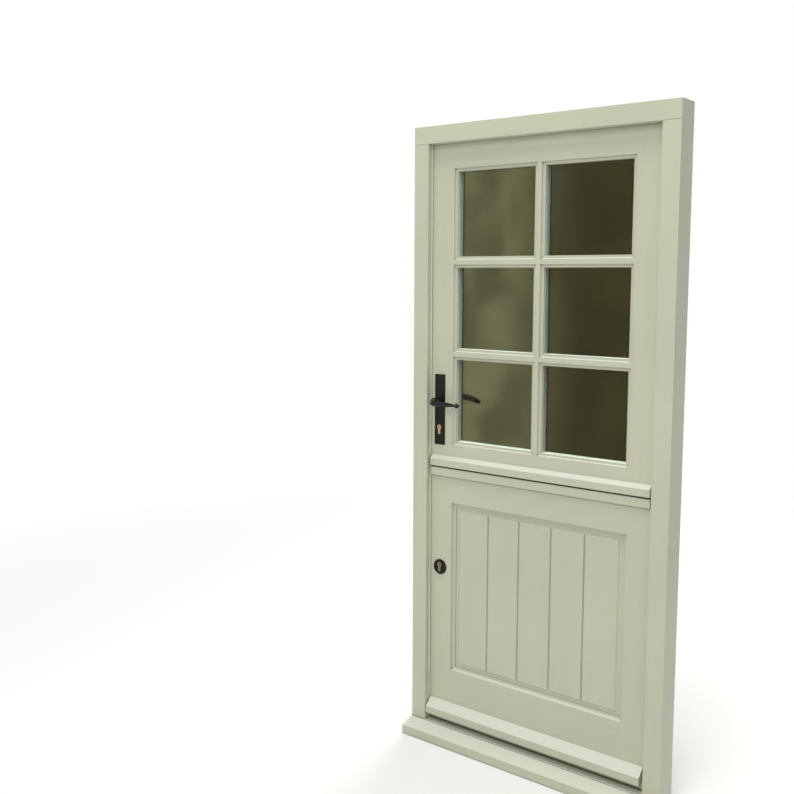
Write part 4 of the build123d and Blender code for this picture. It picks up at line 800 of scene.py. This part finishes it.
@dataclass
class Screws:
    """The screws and through bolts, each head with its cross recess, one mesh for each body.

    Those that face in or out hold black ironmongery and are black. The others are steel. The
    recess's sizes are shares of the head's radius. The places of the screws are read from the
    packed ones, whose points are compared within the tolerances.
    """

    bodies: dict[str, str] = field(default_factory=lambda: {
        "frame_screws": "frame", "upper_screws": "upper_leaf", "lower_screws": "lower_leaf",
    })
    finishes: tuple[Finish, ...] = (STEEL, IRON)
    enlarged: float = 1000.0
    head_sides: int = 32
    shank_sides: int = 20
    recess_sides: int = 4
    recess_depth: float = 0.62
    recess_mouth: float = 0.775
    recess_foot: float = 0.217
    recess_width: float = 0.3
    recess_overrun: float = 1.3
    weld: float = 0.01 * MM
    face_tolerance: float = 0.02 * MM
    least_head_depth: float = 0.2 * MM
    share_tolerance: float = 0.02
    least_shank_share: float = 0.2
    size_digits: int = 4

    def tree(self) -> bpy.types.NodeTree:
        """The node tree that sets one kind of screw on points.

        The screw is drawn a thousand times too large, where cuts are exact, and shrunk as it is
        set on the points.

        Returns:
            The geometry node tree, its sizes and its material as named inputs.
        """
        tree, canvas, given = new_group(
            "screws_on_points",
            {"Geometry": Kind.GEOMETRY, **{name: Kind.NUMBER for name in Screw.sockets},
             "Material": Kind.MATERIAL},
            {"Geometry": Kind.GEOMETRY}, "GeometryNodeTree",
        )
        head, under, deep, shank, length = (
            canvas.math("MULTIPLY", given[name], self.enlarged) for name in Screw.sockets
        )
        screw = self.blank(canvas, head, under, deep, shank, length)
        for turn in (0.0, math.pi / 2):
            screw = canvas.add("GeometryNodeMeshBoolean",
                               {"Mesh 1": screw, "Mesh 2": self.recess(canvas, head, turn)},
                               operation="DIFFERENCE", solver="EXACT").outputs["Mesh"]
        facing = canvas.add("GeometryNodeInputNamedAttribute", {"Name": "facing"},
                            data_type="FLOAT_VECTOR").outputs["Attribute"]
        turned = canvas.add("FunctionNodeAlignRotationToVector", {"Vector": facing}, axis="Z")
        shrunk = (1.0 / self.enlarged,) * 3
        placed = canvas.add("GeometryNodeInstanceOnPoints",
                            {"Points": given["Geometry"], "Instance": screw,
                             "Rotation": turned.outputs[0], "Scale": shrunk})
        real = canvas.add("GeometryNodeRealizeInstances", {"Geometry": placed.outputs[0]})
        dressed = canvas.add("GeometryNodeSetMaterial",
                             {"Geometry": real.outputs[0], "Material": given["Material"]})
        canvas.add("NodeGroupOutput", {"Geometry": dressed.outputs[0]})
        return tree

    def blank(self, canvas: Canvas, head: Socket, under: Socket, deep: Socket, shank: Socket,
              length: Socket) -> Socket:
        """The screw without its recess, the head's face at the origin, pointing up.

        Args:
            canvas: the tree's canvas.
            head: the head's radius.
            under: the radius under the head.
            deep: the head's depth.
            shank: the shank's radius.
            length: the whole length.

        Returns:
            The blank's mesh.
        """
        cone = canvas.add("GeometryNodeMeshCone",
                          {"Vertices": self.head_sides, "Radius Top": head,
                           "Radius Bottom": under, "Depth": deep}).outputs["Mesh"]
        cone = self.sunk(canvas, cone, deep)
        buried = canvas.math("MULTIPLY", deep, 0.5)
        run = canvas.math("SUBTRACT", length, buried)
        rod = canvas.add("GeometryNodeMeshCylinder",
                         {"Vertices": self.shank_sides, "Radius": shank,
                          "Depth": run}).outputs["Mesh"]
        middle = canvas.math("ADD", buried, canvas.math("MULTIPLY", run, 0.5))
        rod = self.sunk(canvas, rod, middle)
        union = canvas.add("GeometryNodeMeshBoolean", operation="UNION", solver="EXACT")
        for part in (cone, rod):
            canvas.tree.links.new(part, union.inputs["Mesh 2"])
        return union.outputs["Mesh"]

    def recess(self, canvas: Canvas, head: Socket, turn: float) -> Socket:
        """One arm of the cross, a wedge that narrows as it goes down.

        Args:
            canvas: the tree's canvas.
            head: the head's radius.
            turn: how far the arm is turned about the screw.

        Returns:
            The wedge's mesh.
        """
        depth, mouth, foot = (
            canvas.math("MULTIPLY", head, share)
            for share in (self.recess_depth, self.recess_mouth, self.recess_foot)
        )
        height = canvas.math("MULTIPLY", depth, self.recess_overrun)
        wedge = canvas.add("GeometryNodeMeshCone",
                           {"Vertices": self.recess_sides, "Radius Top": mouth,
                            "Radius Bottom": foot, "Depth": height}).outputs["Mesh"]
        return self.sunk(canvas, wedge, depth,
                         {"Rotation": (0.0, 0.0, turn), "Scale": (1.0, self.recess_width, 1.0)})

    @staticmethod
    def sunk(canvas: Canvas, shape: Socket, depth: Socket, placing: dict | None = None) -> Socket:
        """Lower a shape.

        Args:
            canvas: the tree's canvas.
            shape: the shape.
            depth: how far down it goes.
            placing: how it is turned and scaled first.

        Returns:
            The lowered shape.
        """
        offset = canvas.add("ShaderNodeCombineXYZ", {"Z": canvas.math("MULTIPLY", depth, -1.0)})
        moved = canvas.add("GeometryNodeTransform",
                           {"Geometry": shape, "Translation": offset.outputs[0],
                            **(placing or {})})
        return moved.outputs[0]

    def read(self, node: bpy.types.Object
             ) -> dict[tuple[Screw, Finish], list[tuple[Vector, Vector]]]:
        """Read the screws of a CAD node: their kind, the middle of each head and where it faces.

        Args:
            node: the CAD node.

        Returns:
            For each kind and finish, the place and the facing of every such screw.
        """
        mesh = bmesh.new()
        mesh.from_mesh(node.data)
        bmesh.ops.remove_doubles(mesh, verts=mesh.verts, dist=self.weld)
        mesh.verts.index_update()
        done: set[bmesh.types.BMVert] = set()
        found: dict[tuple[Screw, Finish], list[tuple[Vector, Vector]]] = {}
        for first in mesh.verts:
            if first in done:
                continue
            island = self.joined_to(first)
            done |= island
            points = [vertex.co.copy() for vertex in sorted(island, key=lambda vertex: vertex.index)]
            kind, place, facing = self.measure(points)
            finish = IRON if abs(facing.y) > abs(facing.x) else STEEL
            found.setdefault((kind, finish), []).append((place, facing))
        mesh.free()
        return found

    @staticmethod
    def joined_to(first: bmesh.types.BMVert) -> set[bmesh.types.BMVert]:
        """Find every point of the screw that a point is on.

        Args:
            first: the point.

        Returns:
            The screw's points.
        """
        island = {first}
        edge = {first}
        while edge:
            edge = {link.other_vert(vertex) for vertex in edge
                    for link in vertex.link_edges} - island
            island |= edge
        return island

    def measure(self, points: list[Vector]) -> tuple[Screw, Vector, Vector]:
        """Measure one screw from its points.

        Args:
            points: the points of its surface.

        Returns:
            Its kind, the middle of its head's face, and the way that the head faces.
        """
        low = Vector(map(min, zip(*points)))
        high = Vector(map(max, zip(*points)))
        size = high - low
        along = max(range(3), key=lambda axis: size[axis])
        axis = Vector(1.0 if number == along else 0.0 for number in range(3))
        middle = (low + high) / 2
        radii = [((point - middle) - axis * (point - middle).dot(axis)).length for point in points]
        widest = max(radii)
        nearly, barely = 1 - self.share_tolerance, 1 + self.share_tolerance
        rim = [point[along] for point, radius in zip(points, radii) if radius > widest * nearly]
        facing = axis if sum(rim) / len(rim) > middle[along] else -axis
        place = middle + facing * (size[along] / 2)
        depths = [(place - point).dot(facing) for point in points]
        shank = min(radius for radius, depth in zip(radii, depths)
                    if depth > size[along] * nearly and radius > widest * self.least_shank_share)
        deep = min(depth for radius, depth in zip(radii, depths)
                   if shank * nearly < radius < shank * barely and depth > self.least_head_depth)
        under = max(radius for radius, depth in zip(radii, depths)
                    if abs(depth - deep) < self.face_tolerance)
        sizes = (round(value, self.size_digits)
                 for value in (widest, under, deep, shank, size[along]))
        return Screw(*sizes), place, facing

    def build(self, nodes: dict[str, bpy.types.Object], finishes: Finishes) -> None:
        """Set the screws of each body in the place of its CAD node.

        Args:
            nodes: the CAD nodes by name.
            finishes: the materials.
        """
        tree = self.tree()
        for name, body in self.bodies.items():
            joined = bmesh.new()
            for (kind, finish), places in self.read(nodes[name]).items():
                before = len(joined.faces)
                joined.from_mesh(self.set_out(tree, kind, places, finishes.of(finish)))
                joined.faces.ensure_lookup_table()
                for face in joined.faces[before:]:
                    face.material_index = self.finishes.index(finish)
                log.info("set %d screws %.0f mm long on %s", len(places), kind.length / MM, body)
            data = plain_mesh(f"{body}_screws", joined)
            for finish in self.finishes:
                data.materials.append(finishes.of(finish))
            piece = put_in_scene(f"{body}_cross_screws", data)
            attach(piece, body)
            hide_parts(name)

    @staticmethod
    def set_out(tree: bpy.types.NodeTree, kind: Screw, places: list[tuple[Vector, Vector]],
                material: bpy.types.Material) -> bpy.types.Mesh:
        """Set one kind of screw on its points.

        Args:
            tree: the screw's node tree.
            kind: the kind of screw.
            places: the place and facing of each.
            material: the screws' material.

        Returns:
            The screws as a plain mesh.
        """
        data = bpy.data.meshes.new("screw_points")
        data.from_pydata([place for place, _ in places], [], [])
        facing = data.attributes.new("facing", "FLOAT_VECTOR", "POINT")
        for item, (_, way) in zip(facing.data, places):
            item.vector = way
        carrier = put_in_scene("screw_carrier", data)
        modifier = carrier.modifiers.new("screws", "NODES")
        modifier.node_group = tree
        values = {**kind.inputs, "Material": material}
        for socket in tree.interface.items_tree:
            if socket.in_out == "INPUT" and socket.name in values:
                modifier[socket.identifier] = values[socket.name]
        graph = bpy.context.evaluated_depsgraph_get()
        plain = bpy.data.meshes.new_from_object(carrier.evaluated_get(graph))
        bpy.data.objects.remove(carrier)
        return plain


@dataclass
class Glazing:
    """The six sealed units, each of two sheets with ground arrises."""

    rows: tuple[str, ...] = ("low", "middle", "high")
    columns: tuple[str, ...] = ("left", "right")
    sheets: tuple[Finish, ...] = (FRONT_SHEET, REAR_SHEET_PAINTED_SHADE)
    sheet_thickness: float = 4.0 * MM
    arris: float = 0.5 * MM

    def sheet(self, mesh: bmesh.types.BMesh, low: Vector, high: Vector, finish: int) -> None:
        """Add one sheet of glass with ground arrises.

        Args:
            mesh: the unit's mesh.
            low: the sheet's lowest corner.
            high: its highest corner.
            finish: the number of its material.
        """
        size = high - low
        placed = Matrix.Translation((low + high) / 2) @ Matrix.Diagonal((*size, 1.0))
        made = bmesh.ops.create_cube(mesh, size=1.0, matrix=placed)
        edges = list({edge for vertex in made["verts"] for edge in vertex.link_edges})
        bevelled = bmesh.ops.bevel(mesh, geom=edges, offset=self.arris, segments=1,
                                   affect="EDGES", clamp_overlap=True)
        faces = set(bevelled["faces"])
        for vertex in bevelled["verts"]:
            faces.update(vertex.link_faces)
        for face in faces:
            face.material_index = finish

    def unit(self, row: str, column: str, finishes: Finishes) -> None:
        """Make one unit in the place of its CAD node.

        Args:
            row: its row.
            column: its column.
            finishes: the materials.
        """
        node = f"glass_{row}_{column}"
        low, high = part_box(node)
        mesh = bmesh.new()
        self.sheet(mesh, low, Vector((high.x, low.y + self.sheet_thickness, high.z)), 0)
        self.sheet(mesh, Vector((low.x, high.y - self.sheet_thickness, low.z)), high, 1)
        data = plain_mesh(f"unit_{row}_{column}", mesh)
        for finish in self.sheets:
            data.materials.append(finishes.of(finish))
        unit = put_in_scene(f"unit_{row}_{column}", data)
        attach(unit, "upper_leaf")
        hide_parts(node)
        log.info("glazed %s %s", row, column)

    def build(self, finishes: Finishes) -> None:
        """Make all the units.

        Args:
            finishes: the materials.
        """
        for row in self.rows:
            for column in self.columns:
                self.unit(row, column, finishes)


@dataclass(frozen=True)
class Lamp:
    """One soft square lamp: where it hangs, the length of its side, its power and its aim."""

    name: str
    place: tuple[float, float, float]
    size: float
    watts: float
    aim: tuple[float, float, float] = (0.0, 0.0, 0.9)

    def hang(self) -> None:
        """Put the lamp in the scene."""
        data = bpy.data.lights.new(self.name, "AREA")
        data.shape = "SQUARE"
        data.size = self.size
        data.energy = self.watts
        lamp = put_in_scene(self.name, data)
        lamp.location = self.place
        way = Vector(self.aim) - Vector(self.place)
        lamp.rotation_euler = way.to_track_quat("-Z", "Y").to_euler()


@dataclass
class Studio:
    """A pale floor that fades to white, a white surround and soft lamps."""

    floor_radius: float = 30.0
    floor_sides: int = 96
    floor_drop: float = 0.5 * MM
    floor_colour: Colour = (0.8, 0.8, 0.79)
    fade: Step = Step(1.4, 4.5)
    ambient: float = 0.36
    lamps: tuple[Lamp, ...] = (
        Lamp("overhead", (0.3, -1.3, 7.2), 3.0, 285.0),
        Lamp("front", (0.9, -4.6, 4.6), 2.4, 108.0),
        Lamp("behind", (-1.0, 4.6, 4.6), 3.2, 230.0, aim=(0.0, 0.0, 1.0)),
    )

    @staticmethod
    def seen(canvas: Canvas) -> Socket:
        """What is looked at, straight, in a reflection or through glass.

        Args:
            canvas: the canvas of the material or world.

        Returns:
            One where it is looked at, and zero where it only lights.
        """
        path = canvas.add("ShaderNodeLightPath").outputs
        turned = canvas.math("MAXIMUM", path["Is Glossy Ray"], path["Is Transmission Ray"])
        return canvas.math("MAXIMUM", path["Is Camera Ray"], turned)

    def floor(self) -> None:
        """Lay the floor, which fades to white away from the door."""
        mesh = bmesh.new()
        bmesh.ops.create_circle(mesh, cap_ends=True, segments=self.floor_sides,
                                radius=self.floor_radius)
        floor = put_in_scene("floor", plain_mesh("floor", mesh))
        floor.location.z = -self.floor_drop
        material = bpy.data.materials.new("pale_floor")
        material.use_nodes = True
        canvas = Canvas(material.node_tree)
        place = canvas.add("ShaderNodeTexCoord").outputs["Object"]
        distance = canvas.add("ShaderNodeVectorMath", {0: place}, operation="LENGTH")
        away = canvas.math("MULTIPLY", canvas.step(distance.outputs["Value"], self.fade),
                           self.seen(canvas))
        laid = canvas.add("ShaderNodeBsdfDiffuse", {"Color": (*self.floor_colour, 1.0)})
        white = canvas.add("ShaderNodeEmission", {"Color": (*WHITE, 1.0), "Strength": 1.0})
        mix = canvas.add("ShaderNodeMixShader", {0: away, 1: laid.outputs[0], 2: white.outputs[0]})
        canvas.add("ShaderNodeOutputMaterial", {"Surface": mix.outputs[0]})
        floor.data.materials.append(material)

    def surround(self) -> None:
        """Make the world white where it is seen, and softly lit for everything else."""
        world = bpy.data.worlds.new("surround")
        world.use_nodes = True
        canvas = Canvas(world.node_tree)
        strength = canvas.add("ShaderNodeMapRange", {
            "Value": self.seen(canvas), "To Min": self.ambient, "To Max": 1.0,
        })
        back = canvas.add("ShaderNodeBackground",
                          {"Color": (*WHITE, 1.0), "Strength": strength.outputs["Result"]})
        canvas.add("ShaderNodeOutputWorld", {"Surface": back.outputs[0]})
        bpy.context.scene.world = world

    def build(self) -> None:
        """Set up the whole studio."""
        self.floor()
        self.surround()
        for lamp in self.lamps:
            lamp.hang()
        bpy.context.scene.view_settings.view_transform = "Standard"


@dataclass
class Viewpoint:
    """The camera where the photograph was taken from, its angles in radians."""

    place: tuple[float, float, float] = (1.59988, -2.65013, 1.60217)
    yaw: float = -0.6793
    pitch: float = -0.1072
    roll: float = 0.0029
    focal_length_px: float = 985.12
    centre_row_px: float = 381.0
    sensor_mm: float = 36.0

    def build(self) -> None:
        """Make the camera and give it to the scene."""
        forward = Vector((math.sin(self.yaw) * math.cos(self.pitch),
                          math.cos(self.yaw) * math.cos(self.pitch), math.sin(self.pitch)))
        level = Vector((math.cos(self.yaw), -math.sin(self.yaw), 0.0))
        above = level.cross(forward)
        right = level * math.cos(self.roll) + above * math.sin(self.roll)
        up = above * math.cos(self.roll) - level * math.sin(self.roll)
        data = bpy.data.cameras.new("photograph")
        data.sensor_width = self.sensor_mm
        data.lens = self.focal_length_px / IMAGE_SIDE_PX * self.sensor_mm
        data.shift_y = (self.centre_row_px - IMAGE_SIDE_PX / 2) / IMAGE_SIDE_PX
        data.dof.use_dof = False
        camera = put_in_scene("photograph", data)
        turn = Matrix((right, up, -forward)).transposed().to_4x4()
        camera.matrix_world = Matrix.Translation(self.place) @ turn
        bpy.context.scene.camera = camera


def main() -> None:
    """Load the door, dress it piece by piece, and light it."""
    logging.basicConfig(level=logging.INFO, format="%(name)s: %(message)s")
    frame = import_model()
    nodes = frame["nodes"]
    Viewpoint().build()
    Studio().build()
    finishes = Finishes(Effects())
    Timber().dress(nodes, finishes)
    Metalwork().dress(nodes, finishes)
    Seals().dress(nodes, finishes)
    Screws().build(nodes, finishes)
    Glazing().build(finishes)


if __name__ == "__main__":
    main()
